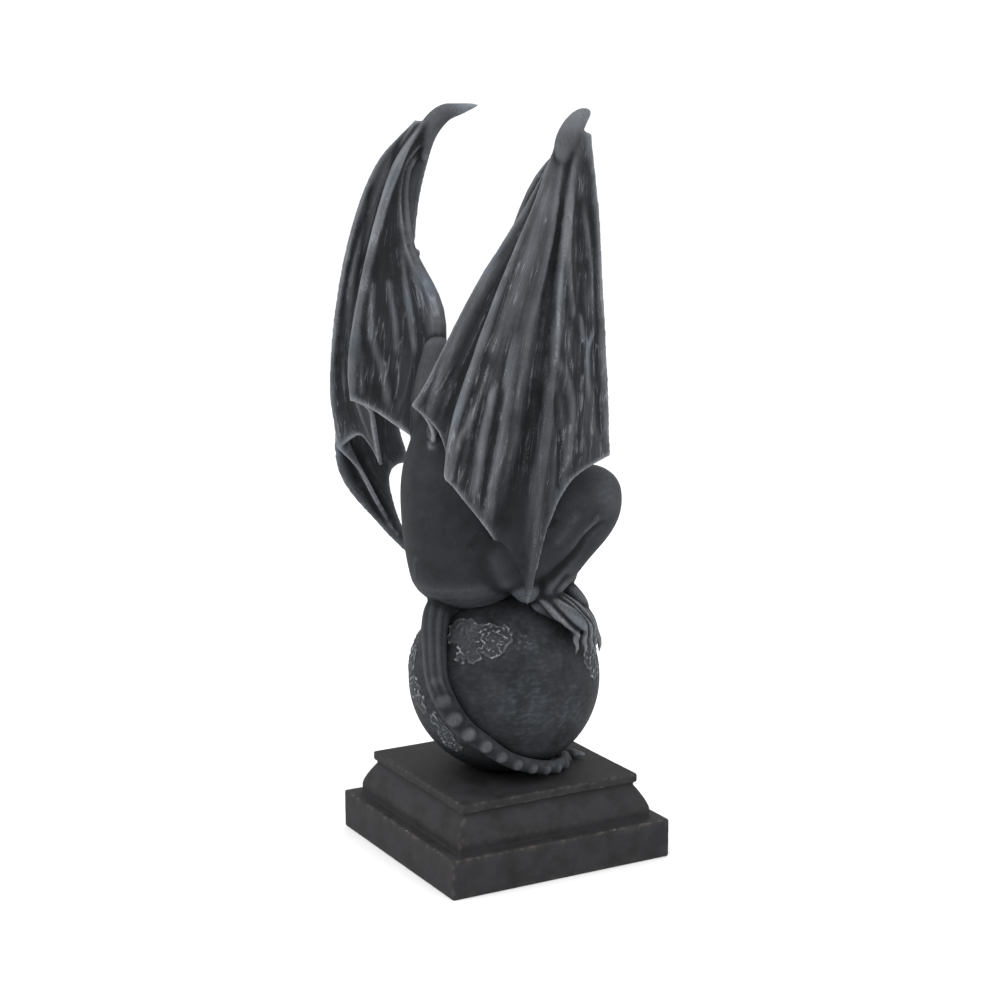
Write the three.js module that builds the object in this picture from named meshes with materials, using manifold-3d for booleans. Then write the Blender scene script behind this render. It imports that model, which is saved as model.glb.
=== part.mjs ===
// A cast resin gargoyle that crouches on a globe, on a stepped square plinth.
// Millimetres, +Z up. The figure faces -Y, and its right side is -X.
import * as THREE from "three";
import { mergeVertices } from "three/addons/utils/BufferGeometryUtils.js";
import Module from "manifold-3d";

const wasm = await Module();
wasm.setup();

// Plinth
const slabWidth = 140;
const slabHeight = 22.4;
const blockWidth = 124.2;
const blockFootHeight = 5.5;
const neckWidth = 109;
const slopeRoundness = 1.35;
const capWidth = 113.6;
const capThickness = 5.7;
const plinthHeight = 48.1;
const edgeRadius = 1.2;

// Globe
const globeDiameter = 112.6;
const globeSeatDepth = 4;
const globeSetback = 1;

// Figure
const figureRise = 265;
const membraneThickness = 3.2;
const fingerRidge = 1.4;
const wingArmRadius = 4.6;
const tailRootRadius = 9.5;
const tailEndRadius = 3.4;
const tailKnobs = 13;
const toeCount = 5;
const fingerCount = 4;

// Bare resin faces that meet keep this gap.
const seatGap = 0.3;

// Worked out from the sizes above
const globeRadius = globeDiameter / 2;
const globeCentre = new THREE.Vector3(0, -globeSetback, plinthHeight - globeSeatDepth + globeRadius);
const globeTop = globeCentre.z + globeRadius;
const drawnRise = 265;
const figureScale = figureRise / drawnRise;

const RIGHT = -1;
const LEFT = 1;

// A point of the figure in its drawing, 265 mm high above the globe's top, brought to its real size.
function at(x, y, z) {
  return new THREE.Vector3(x, y, z).multiplyScalar(figureScale).add(new THREE.Vector3(0, 0, globeTop));
}

// A point over the globe: degrees round from the front towards the figure's left, degrees up
// from the globe's equator, and the height above its surface.
function onGlobe(round, up, lift) {
  const turn = THREE.MathUtils.degToRad(round);
  const rise = THREE.MathUtils.degToRad(up);
  const reach = globeRadius + lift * figureScale;
  return new THREE.Vector3(
    reach * Math.sin(turn) * Math.cos(rise),
    -reach * Math.cos(turn) * Math.cos(rise),
    reach * Math.sin(rise),
  ).add(globeCentre);
}

function solidOf(geometry) {
  const bare = geometry.index ? geometry.clone() : geometry;
  bare.deleteAttribute("normal");
  bare.deleteAttribute("uv");
  const merged = mergeVertices(bare, 1e-4);
  return new wasm.Manifold(
    new wasm.Mesh({
      numProp: 3,
      vertProperties: new Float32Array(merged.attributes.position.array),
      triVerts: new Uint32Array(merged.index.array),
    }),
  );
}

function union(solids) {
  return solids.reduce((whole, solid) => whole.add(solid));
}

function meshOf(solid, name, material) {
  const made = solid.getMesh();
  const positions = new Float32Array(made.numVert * 3);
  for (let i = 0; i < made.numVert; i++) {
    positions.set(made.vertProperties.subarray(i * made.numProp, i * made.numProp + 3), i * 3);
  }
  const geometry = new THREE.BufferGeometry();
  geometry.setAttribute("position", new THREE.BufferAttribute(positions, 3));
  geometry.setIndex(new THREE.BufferAttribute(made.triVerts, 1));
  geometry.computeVertexNormals();
  const mesh = new THREE.Mesh(geometry, material);
  mesh.name = name;
  return mesh;
}

// The value of a list of evenly spaced values at a share of its length.
function spread(values, share) {
  if (!Array.isArray(values)) return values;
  const place = share * (values.length - 1);
  const first = Math.min(Math.floor(place), values.length - 2);
  return THREE.MathUtils.lerp(values[first], values[first + 1], place - first);
}

// A closed limb along a curve through points: a sphere drawn out along it, with round ends.
// radii spread over its length, depth is the ratio of its section's depth to its width, width is the
// way that width runs, and blunt flattens the first end.
function limb(points, radii, { around = 8, along = 8, depth = 1, width = null, blunt = 1 } = {}) {
  const curve =
    points instanceof THREE.Curve ? points : new THREE.CatmullRomCurve3(points, false, "centripetal");
  const length = curve.getLength();
  const startCap = Math.min((blunt * spread(radii, 0)) / length, 0.3);
  const endCap = Math.min(spread(radii, 1) / length, 0.3);
  const ball = new THREE.SphereGeometry(1, around, along);
  const place = ball.attributes.position;
  for (let i = 0; i < place.count; i++) {
    const polar = Math.acos(THREE.MathUtils.clamp(place.getY(i), -1, 1)) / Math.PI;
    const row = Math.round(polar * along);
    const turn = Math.atan2(place.getZ(i), place.getX(i));
    let share = startCap + ((1 - startCap - endCap) * (row - 2)) / (along - 4);
    let cap = 1;
    if (row === 0) [share, cap] = [0, 0];
    if (row === 1) [share, cap] = [startCap * 0.3, 0.71];
    if (row === along - 1) [share, cap] = [1 - endCap * 0.3, 0.71];
    if (row === along) [share, cap] = [1, 0];
    const centre = curve.getPointAt(share);
    const tangent = curve.getTangentAt(share);
    const across = width ? width.clone() : new THREE.Vector3(1, 0, 0);
    if (Math.abs(across.dot(tangent)) > 0.9) across.set(0, 1, 0);
    across.addScaledVector(tangent, -across.dot(tangent)).normalize();
    const out = tangent.clone().cross(across);
    const radius = spread(radii, share) * cap * figureScale;
    centre.addScaledVector(across, Math.cos(turn) * radius);
    centre.addScaledVector(out, Math.sin(turn) * radius * spread(depth, share));
    place.setXYZ(i, centre.x, centre.y, centre.z);
  }
  return solidOf(ball);
}

// Plinth: a square section turned from one profile of half widths and heights.
function plinthProfile() {
  const slab = slabWidth / 2;
  const block = blockWidth / 2;
  const neck = neckWidth / 2;
  const cap = capWidth / 2;
  const neckHeight = plinthHeight - capThickness;
  const profile = [
    [0, 0],
    [slab, 0],
    [slab, slabHeight - edgeRadius],
    [slab - edgeRadius, slabHeight],
    [block, slabHeight],
    [block, slabHeight + blockFootHeight],
  ];
  const slopeSteps = 5;
  const slopeFoot = slabHeight + blockFootHeight;
  for (let i = 1; i <= slopeSteps; i++) {
    const share = i / slopeSteps;
    profile.push([
      block - (block - neck) * share ** slopeRoundness,
      slopeFoot + (neckHeight - slopeFoot) * share,
    ]);
  }
  profile.push(
    [cap, neckHeight + edgeRadius],
    [cap, plinthHeight - edgeRadius],
    [cap - edgeRadius, plinthHeight],
    [0, plinthHeight],
  );
  return profile.map(([half, height]) => new THREE.Vector2(half * Math.SQRT2, height));
}

function globeSolid(radius) {
  const ball = new THREE.SphereGeometry(radius, 24, 15);
  ball.rotateX(Math.PI / 2);
  ball.translate(globeCentre.x, globeCentre.y, globeCentre.z);
  return solidOf(ball);
}

function plinthSolid() {
  const turned = new THREE.LatheGeometry(plinthProfile(), 4);
  turned.rotateX(Math.PI / 2);
  turned.rotateZ(Math.PI / 4);
  return solidOf(turned).subtract(globeSolid(globeRadius + seatGap));
}

const panelColumns = 4;
const panelRows = 7;

// Wings. Each rib is a finger bone from the wrist to its point on the hem. The first is the arm's own
// edge, and the arm lies shifted off it, behind the skin. Between two ribs the skin sags inwards by one
// depth half way down and another at its hem. The hem is cut back from the two points by shares of the
// ribs' lengths, at first steeply, or by the power that is given.
const rightWing = {
  side: RIGHT,
  wrist: [-81, 1, 250],
  clawTip: [-75, -9, 259],
  armShift: [3, -2, 0],
  ribs: [
    [[-77, -3, 250], [-70, 14, 230], [-54, 25, 186], [-28, 29, 149], [-13, 50, 86]],
    [[-78, 2, 256], [-67, 25, 212], [-53, 46, 170], [-36, 66, 121], [-29, 70, 110]],
    [[-79, 6, 256], [-76, 30, 201], [-73, 42, 169], [-58, 57, 110], [-44, 58, 72]],
    [[-83, 6, 256], [-87, 21, 190], [-84, 32, 144], [-66, 34, 81], [-47, 31, 36]],
    [[-85, 1, 256], [-90, 11, 205], [-91, 19, 133], [-72, 18, 58], [-51, 12, -1]],
    [[-85, -7, 254], [-86, -10, 219], [-86, -14, 157], [-82, -19, 118], [-74, -26, 82]],
  ],
  sags: [[6, 4], [14, 9], [-2, -3], [8, 7], [3, 4]],
  cuts: [[0, 0.06], [0.02, 0.06], [0.01, 0.02], [0.02, 0.04], [0.26, 0]],
};

const leftWing = {
  side: LEFT,
  wrist: [81, -2, 252],
  clawTip: [65, -22, 268],
  armShift: [5, -2, 0],
  ribs: [
    [[80, 0, 252], [78, 20, 231], [61, 28, 190], [28, 27, 150], [13, 46, 83]],
    [[80, 6, 259], [76, 24, 237], [67, 45, 194], [46, 70, 132], [38, 75, 105]],
    [[82, 10, 259], [85, 24, 236], [88, 46, 170], [80, 54, 110], [68, 43, 61]],
    [[85, 8, 259], [91, 31, 234], [96, 50, 178], [99, 59, 103], [96, 57, 67]],
    [[86, 2, 257], [94, 18, 222], [102, 38, 140], [102, 55, 58], [96, 30, 19], [88, 6, -8]],
    [[85, -5, 255], [92, 4, 215], [99, 8, 150], [104, 15, 85], [102, 8, 54]],
  ],
  sags: [[5, 3], [9, 6], [4, 4], [6, 5], [3, 0]],
  cuts: [[0, 0.04], [0.03, 0.1], [0.12, 0.02], [0.02, 0.24], [0.42, 0, 1.3]],
};

function wingSkin(wing) {
  const ribs = wing.ribs.map((points) => {
    const through = points.map((point) => at(...point));
    return new THREE.CatmullRomCurve3(through, false, "centripetal");
  });
  const panels = ribs.length - 1;
  const hemRise = (share, power) => 1 - (1 - share) ** power;
  const middle = (round, down) => {
    const first = Math.min(Math.floor(round), panels - 1);
    const across = round - first;
    const [cutFirst, cutSecond, power = 4] = wing.cuts[first];
    const a = ribs[first].getPoint(down * (1 - cutFirst * hemRise(across, power)));
    const b = ribs[first + 1].getPoint(down * (1 - cutSecond * hemRise(1 - across, power)));
    return a.lerp(b, across);
  };
  const skin = new THREE.BoxGeometry(1, 1, 1, panels * panelColumns, panelRows, 1);
  const place = skin.attributes.position;
  const step = 0.02;
  for (let i = 0; i < place.count; i++) {
    const round = (place.getX(i) + 0.5) * panels;
    const down = 0.5 - place.getY(i);
    const outer = place.getZ(i) * wing.side < 0;
    const nearRound = THREE.MathUtils.clamp(round, step, panels - step);
    const nearDown = THREE.MathUtils.clamp(down, step, 1 - step);
    const wide = middle(nearRound + step, nearDown).sub(middle(nearRound - step, nearDown));
    const long = middle(nearRound, nearDown + step).sub(middle(nearRound, nearDown - step));
    const inward = wide.cross(long).normalize().multiplyScalar(-wing.side);
    const panel = Math.min(Math.floor(round + 1e-6), panels - 1);
    const arc = Math.sin(Math.PI * THREE.MathUtils.clamp(round - panel, 0, 1));
    const sag = THREE.MathUtils.lerp(...wing.sags[panel], down) * Math.min(1, down * 2.5) * arc;
    const ridge = outer ? fingerRidge * (1 - arc) ** 2 : 0;
    const half = (membraneThickness / 2) * Math.min(1, 0.6 + down * 2);
    const shift = sag * figureScale + (outer ? -half - ridge : half);
    const point = middle(round, down).addScaledVector(inward, shift);
    place.setXYZ(i, point.x, point.y, point.z);
  }
  return solidOf(skin);
}

function claw(points, radius) {
  return limb(points.map((point) => at(...point)), [radius, radius * 0.9, radius * 0.55, 0.5], {
    around: 6,
    along: 7,
  });
}

function wingSolid(wing) {
  const [x, y, z] = wing.wrist;
  const s = wing.side;
  const shift = new THREE.Vector3(...wing.armShift).multiplyScalar(figureScale);
  const arm = wing.ribs[0].map((point) => at(...point).add(shift));
  const armRadii = [0.75, 1, 1.15, 1.6, 1.5].map((share) => share * wingArmRadius);
  const base = [x + s, y + 5, z];
  const rise = [x - s * 2, y - 4, z + 11];
  const bend = [x - s * 8, y - 13, z + 14];
  return union([
    wingSkin(wing),
    limb(arm, armRadii, { around: 6, along: 10 }),
    limb([at(x, y + 5, z - 9), at(x, y + 1, z + 5)], [6.5, 6.5, 5], { along: 6 }),
    claw([base, rise, bend, wing.clawTip], 6.5),
    claw([[s * 61, 28, 192], [s * 56, 25, 190], [s * 53, 22, 188]], 4.5),
  ]);
}

// Body, in pairs of limbs mirrored by side
function leg(side) {
  const p = (x, y, z) => at(side * x, y, z);
  const thigh = limb(
    [p(8, 22, 16), p(27, 10, 23), p(45, -16, 47), p(56, -43, 64)],
    [22, 22, 21, 15.5],
    { around: 12, along: 8 },
  );
  const calf = [p(51, -30, 70), p(52, -33, 50), p(45, -19, 24), p(35, -6, -6)];
  const shin = limb(calf, [12, 13, 10.5, 5.5]);
  return union([thigh, shin, foot(side)]);
}

function foot(side) {
  const sole = [
    onGlobe(side * 88, 62, 3),
    onGlobe(side * 72, 50, 6.5),
    onGlobe(side * 60, 40, 5.5),
    onGlobe(side * 54, 31, 4),
  ];
  const pieces = [limb(sole, [7.5, 8.5, 10, 11], { depth: [1, 0.9, 0.55, 0.4] })];
  for (let i = 0; i < toeCount; i++) {
    const share = i / (toeCount - 1);
    const round = side * THREE.MathUtils.lerp(69, 39, share);
    const tip = 23 - 3 * Math.sin(Math.PI * share);
    const bone = [
      onGlobe(THREE.MathUtils.lerp(side * 64, round, 0.35), 46, 6),
      onGlobe(THREE.MathUtils.lerp(side * 60, round, 0.8), 35, 5.5),
      onGlobe(round, tip + 6, 3.5),
      onGlobe(round, tip + 1, 3.8),
      onGlobe(round, tip - 3, 0.6),
    ];
    pieces.push(digit(bone));
  }
  return union(pieces);
}

// A toe or finger with its claw, along five points.
function digit(bone) {
  return limb(bone, [2.6, 3, 2.9, 1.9, 0.4], { around: 5, along: 7 });
}

function arm(side) {
  const p = (x, y, z) => at(side * x, y, z);
  const upper = limb([p(31, 8, 96), p(34, -12, 74), p(26, -26, 50)], [13, 11, 8.5], { along: 7 });
  const fore = limb([p(26, -24, 54), p(22, -33, 28), p(13, -34, -4)], [9, 8.5, 5.5], { along: 7 });
  const back = [onGlobe(side * 19, 60, 9), onGlobe(side * 20, 48, 5), onGlobe(side * 21, 36, 2.5)];
  const palm = limb(back, [6, 8, 8], { along: 6, depth: 0.6 });
  const pieces = [upper, fore, palm];
  for (let i = 0; i < fingerCount; i++) {
    const round = side * THREE.MathUtils.lerp(10, 34, i / (fingerCount - 1));
    const bone = [
      onGlobe(side * 20, 46, 3.5),
      onGlobe(round, 35, 3.5),
      onGlobe(round, 25, 2.2),
      onGlobe(round, 20, 2.6),
      onGlobe(round, 15, 0.4),
    ];
    pieces.push(digit(bone));
  }
  return union(pieces);
}

function torso() {
  const barrel = limb(
    [at(0, 17, -12), at(0, 20, 10), at(0, 22.5, 36), at(0, 22, 60), at(0, 15, 88), at(0, 2, 116)],
    [32, 35.5, 37, 37, 31, 17],
    { around: 14, along: 9, blunt: 0.7 },
  );
  const girdle = [at(-38, 10, 94), at(0, 20, 104), at(38, 10, 94)];
  const shoulders = limb(girdle, [14, 20, 14], { along: 7, width: new THREE.Vector3(0, 0, 1) });
  const wingRoots = [RIGHT, LEFT].map((side) => {
    const root = [at(side * 10, 42, 76), at(side * 15, 36, 108), at(side * 24, 27, 140)];
    return limb(root, [9, 11, 7], { along: 7 });
  });
  return union([barrel, shoulders, ...wingRoots]);
}

// A beast's head of no particular kind: brow, short muzzle, jaw, swept horns and pointed ears.
function head() {
  const neck = [at(0, 6, 100), at(0, -14, 114), at(0, -28, 119)];
  const skull = [at(0, -12, 122), at(0, -45, 119)];
  const muzzle = [at(0, -34, 117), at(0, -48, 113), at(0, -60, 108)];
  const jaw = [at(0, -28, 106), at(0, -44, 102), at(0, -55, 100)];
  const pieces = [
    limb(neck, [19, 15, 13], { along: 6 }),
    limb(skull, [13, 15.5, 10], { along: 6 }),
    limb(muzzle, [11, 9.5, 7], { around: 6, along: 6, depth: 0.8 }),
    limb(jaw, [10, 8, 5], { around: 6, along: 6, depth: 0.6 }),
  ];
  for (const side of [RIGHT, LEFT]) {
    const p = (x, y, z) => at(side * x, y, z);
    const brow = [p(0, -45, 124), p(13, -39, 124)];
    const horn = [p(7, -28, 126), p(14, -22, 140), p(16, -6, 147)];
    const ear = [p(11, -25, 118), p(22, -17, 123), p(31, -6, 128)];
    pieces.push(
      limb(brow, [4.5, 3.5], { around: 5, along: 5 }),
      limb(horn, [5, 3.6, 0.6], { around: 5, along: 6 }),
      limb(ear, [4, 6, 0.8], { around: 5, along: 6, depth: 0.45 }),
    );
  }
  return union(pieces);
}

// The tail hangs down the globe's back, goes round its right side and ends in a barbed point in front.
function tailCurve() {
  const route = [
    [-185, 65, -3],
    [-179, 46, 4],
    [-170, 29, 6],
    [-160, 4, 5],
    [-146, -19, 5],
    [-119, -37, 4.6],
    [-90, -46, 4.4],
    [-62, -51, 4.2],
    [-38, -54.5, 4],
    [-14, -55, 6.5],
  ];
  return new THREE.CatmullRomCurve3(route.map((stop) => onGlobe(...stop)), false, "centripetal");
}

function tail() {
  const curve = tailCurve();
  const [root, end] = [tailRootRadius, tailEndRadius];
  const taper = [1.1, 0.9, 0.85, 0.75, 0.65].map((share) => share * root);
  const radii = [...taper, end * 1.4, end * 1.2, end];
  const pieces = [limb(curve, radii, { around: 6, along: 20 })];
  for (let i = 0; i < tailKnobs; i++) {
    const share = THREE.MathUtils.lerp(0.24, 0.92, i / (tailKnobs - 1));
    const centre = curve.getPointAt(share);
    const out = centre.clone().sub(globeCentre).normalize();
    const low = out.clone().cross(curve.getTangentAt(share)).normalize();
    const radius = spread(radii, share) * figureScale;
    const knob = new THREE.OctahedronGeometry(radius * 0.6);
    centre.addScaledVector(out, radius * 0.7).addScaledVector(low, -radius * 0.5);
    knob.translate(centre.x, centre.y, centre.z);
    pieces.push(solidOf(knob));
  }
  const tip = curve.getPointAt(1).setZ(plinthHeight + seatGap + 2.2 * figureScale);
  for (const [x, y] of [[-10, -9], [12, 0]]) {
    const barb = tip.clone().add(new THREE.Vector3(x, y, 0).multiplyScalar(figureScale));
    const spine = [tip.clone().lerp(barb, -0.4), tip, barb];
    pieces.push(limb(spine, [3, 4, 1], { around: 5, along: 6, depth: 0.7 }));
  }
  return union(pieces);
}

function gargoyleSolid() {
  const whole = union([
    torso(),
    head(),
    leg(RIGHT),
    leg(LEFT),
    arm(RIGHT),
    arm(LEFT),
    tail(),
    wingSolid(rightWing),
    wingSolid(leftWing),
  ]);
  // Where thin skins cross, a union can leave a crumb, so only the figure itself is kept.
  const figure = whole.decompose().reduce((most, body) => (body.volume() > most.volume() ? body : most));
  const belowPlinthTop = new THREE.BoxGeometry(slabWidth * 2, slabWidth * 2, plinthHeight);
  belowPlinthTop.translate(0, 0, plinthHeight / 2 + seatGap);
  return figure.subtract(globeSolid(globeRadius + seatGap)).subtract(solidOf(belowPlinthTop));
}

const resin = (colour) => new THREE.MeshStandardMaterial({ color: colour, roughness: 0.72, metalness: 0 });

const figurine = new THREE.Group();
figurine.add(
  meshOf(plinthSolid(), "plinth", resin(0x2f3033)),
  meshOf(globeSolid(globeRadius), "globe", resin(0x34373b)),
  meshOf(gargoyleSolid(), "gargoyle", resin(0x313338)),
);

export default figurine;
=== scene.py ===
"""A cast resin gargoyle that crouches on a globe, on a stepped square plinth.

The plinth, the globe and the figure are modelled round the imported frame, in metres, with +Z up. The
figure faces -Y and its right side is -X.
"""

from __future__ import annotations

import logging
import math
from dataclasses import dataclass, field
from enum import Enum
from typing import Sequence

import bpy
import numpy as np
from mathutils import Matrix, Vector, kdtree, noise

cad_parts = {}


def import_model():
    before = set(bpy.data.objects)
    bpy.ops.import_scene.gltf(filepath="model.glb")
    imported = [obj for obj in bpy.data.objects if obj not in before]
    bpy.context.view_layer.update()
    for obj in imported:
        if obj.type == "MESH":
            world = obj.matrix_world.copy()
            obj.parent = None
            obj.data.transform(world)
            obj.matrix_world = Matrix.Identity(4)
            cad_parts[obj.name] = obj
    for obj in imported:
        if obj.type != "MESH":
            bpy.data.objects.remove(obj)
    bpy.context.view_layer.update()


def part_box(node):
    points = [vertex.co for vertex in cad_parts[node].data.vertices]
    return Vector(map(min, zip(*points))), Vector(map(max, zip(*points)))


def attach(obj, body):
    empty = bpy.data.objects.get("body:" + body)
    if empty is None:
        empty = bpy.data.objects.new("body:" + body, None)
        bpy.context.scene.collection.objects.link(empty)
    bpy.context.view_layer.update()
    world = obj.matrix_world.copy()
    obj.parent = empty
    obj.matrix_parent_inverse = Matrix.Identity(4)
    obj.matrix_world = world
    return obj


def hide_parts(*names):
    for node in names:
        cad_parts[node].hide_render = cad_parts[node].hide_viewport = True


log = logging.getLogger("figurine")

MM = 0.001
PLINTH_TOP = 48.1 * MM
GLOBE_RADIUS = 56.3 * MM
GLOBE_CENTRE = np.array([0.0, -1.0, 100.4]) * MM
FIGURE_FOOT = np.array([0.0, 0.0, 156.7]) * MM

Point = tuple[float, float, float]


class Side(Enum):
    """The two sides of the figure, by the sign of X."""

    RIGHT = -1
    LEFT = 1


# Measuring and drawing.


def at(x: float, y: float, z: float) -> np.ndarray:
    """A point in millimetres from the globe's top, in metres in the frame."""
    return np.array([x, y, z]) * MM + FIGURE_FOOT


def on_globe(turn: float, rise: float, lift: float) -> np.ndarray:
    """A point over the globe.

    Args:
        turn: Degrees round from the front towards the figure's left.
        rise: Degrees above the globe's equator.
        lift: Millimetres above its surface.

    Returns:
        The point in metres.
    """
    a, b = math.radians(turn), math.radians(rise)
    way = np.array([math.sin(a) * math.cos(b), -math.cos(a) * math.cos(b), math.sin(b)])
    return GLOBE_CENTRE + way * (GLOBE_RADIUS + lift * MM)


def mirrored(side: Side, points: Sequence[Point]) -> tuple[np.ndarray, ...]:
    """Points of the figure's left side, in millimetres, brought to either side."""
    return tuple(at(side.value * x, y, z) for x, y, z in points)


def spread(values: Sequence[float], share: np.ndarray) -> np.ndarray:
    """Evenly spaced values read smoothly at shares from 0 to 1.

    Args:
        values: The values.
        share: Where they are read.

    Returns:
        One value for each share.
    """
    known = np.asarray(values, float)
    if len(known) == 1:
        return np.full_like(np.asarray(share, float), known[0])
    place = np.clip(share, 0, 1) * (len(known) - 1)
    first = np.minimum(place.astype(int), len(known) - 2)
    t = place - first
    padded = np.concatenate([[2 * known[0] - known[1]], known, [2 * known[-1] - known[-2]]])
    a, b, c, d = (padded[first + i] for i in range(4))
    cubic = b + 0.5 * t * (c - a + t * (2 * a - 5 * b + 4 * c - d + t * (3 * (b - c) + d - a)))
    return np.maximum(cubic, 0.02 * known.max())


def smoothstep(low: float, high: float, value: np.ndarray) -> np.ndarray:
    """0 below low, 1 above high, and smooth between."""
    t = np.clip((value - low) / (high - low), 0, 1)
    return t * t * (3 - 2 * t)


class Path:
    """A smooth line through points, with its speed eased by their distances."""

    def __init__(self, points: Sequence[np.ndarray]) -> None:
        """Keeps the points, with one more beyond each end."""
        p = np.asarray(points, float)
        self.points = np.vstack([2 * p[0] - p[1], p, 2 * p[-1] - p[-2]])

    def at(self, share: np.ndarray) -> np.ndarray:
        """Points at shares of the way, counted by the given points.

        Args:
            share: Values from 0 to 1.

        Returns:
            One row for each share.
        """
        count = len(self.points) - 3
        place = np.clip(np.atleast_1d(share), 0, 1) * count
        first = np.minimum(place.astype(int), count - 1)
        t = (place - first)[:, None]
        a, b, c, d = (self.points[first + i] for i in range(4))
        gaps = []
        for p, q in ((a, b), (b, c), (c, d)):
            gaps.append(np.maximum(np.linalg.norm(q - p, axis=1)[:, None] ** 0.5, 1e-4))
        m = (b - a) / gaps[0] - (c - a) / (gaps[0] + gaps[1]) + (c - b) / gaps[1]
        n = (c - b) / gaps[1] - (d - b) / (gaps[1] + gaps[2]) + (d - c) / gaps[2]
        m, n = m * gaps[1], n * gaps[1]
        return b + t * (m + t * (3 * (c - b) - 2 * m - n + t * (2 * (b - c) + m + n)))

    def evenly(self, share: np.ndarray) -> tuple[np.ndarray, np.ndarray]:
        """Points at shares of the line's real length.

        Args:
            share: Values from 0 to 1.

        Returns:
            The points and the directions there.
        """
        steps = np.linspace(0, 1, 400)
        line = self.at(steps)
        run = np.concatenate([[0], np.cumsum(np.linalg.norm(np.diff(line, axis=0), axis=1))])
        where = np.interp(np.asarray(share) * run[-1], run, steps)
        ahead = self.at(np.minimum(where + 0.004, 1)) - self.at(np.maximum(where - 0.004, 0))
        return self.at(where), ahead / np.linalg.norm(ahead, axis=1)[:, None]

    def length(self) -> float:
        """The line's length in metres."""
        line = self.at(np.linspace(0, 1, 200))
        return float(np.linalg.norm(np.diff(line, axis=0), axis=1).sum())


# Working in Blender.


def deselect() -> None:
    """Leaves nothing selected."""
    for obj in bpy.context.selected_objects:
        obj.select_set(False)


def take(obj: bpy.types.Object) -> None:
    """Makes one object the only one selected, and the active one.

    Args:
        obj: The object.
    """
    deselect()
    obj.select_set(True)
    bpy.context.view_layer.objects.active = obj


def modify(obj: bpy.types.Object, kind: str, **settings: object) -> None:
    """Adds a modifier with its settings and applies it.

    Args:
        obj: The object.
        kind: The modifier's type.
        settings: Its settings, by name.
    """
    take(obj)
    made = obj.modifiers.new(kind.lower(), kind)
    for key, value in settings.items():
        setattr(made, key, value)
    bpy.ops.object.modifier_apply(modifier=made.name)


def joined(pieces: Sequence[bpy.types.Object], name: str) -> bpy.types.Object:
    """Joins objects into the first of them.

    Args:
        pieces: The objects.
        name: The joined object's name.

    Returns:
        The joined object.
    """
    take(pieces[0])
    for piece in pieces[1:]:
        piece.select_set(True)
    if len(pieces) > 1:
        bpy.ops.object.join()
    pieces[0].name = pieces[0].data.name = name
    return pieces[0]


def remeshed(obj: bpy.types.Object, voxel: float) -> None:
    """Makes one closed skin of all that an object holds, with faces of one size in millimetres.

    Args:
        obj: The object.
        voxel: The size of a face in millimetres.
    """
    take(obj)
    obj.data.remesh_voxel_size = voxel * MM
    obj.data.remesh_voxel_adaptivity = 0
    bpy.ops.object.voxel_remesh()


def thinned(obj: bpy.types.Object, triangles: int) -> None:
    """Thins a mesh to a number of triangles, most where it is flat.

    Args:
        obj: The object.
        triangles: The most triangles that it keeps.
    """
    obj.data.calc_loop_triangles()
    now = len(obj.data.loop_triangles)
    if now > triangles:
        modify(obj, "DECIMATE", ratio=triangles / now)


def set_points(obj: bpy.types.Object, points: np.ndarray) -> None:
    """Places all the points of an object's mesh."""
    obj.data.vertices.foreach_set("co", points.astype(np.float32).ravel())
    obj.data.update()


def get_points(obj: bpy.types.Object) -> np.ndarray:
    """Reads all the points of an object's mesh.

    Args:
        obj: The object.

    Returns:
        One row for each point, in metres.
    """
    points = np.empty((len(obj.data.vertices), 3))
    obj.data.vertices.foreach_get("co", points.ravel())
    return points


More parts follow.
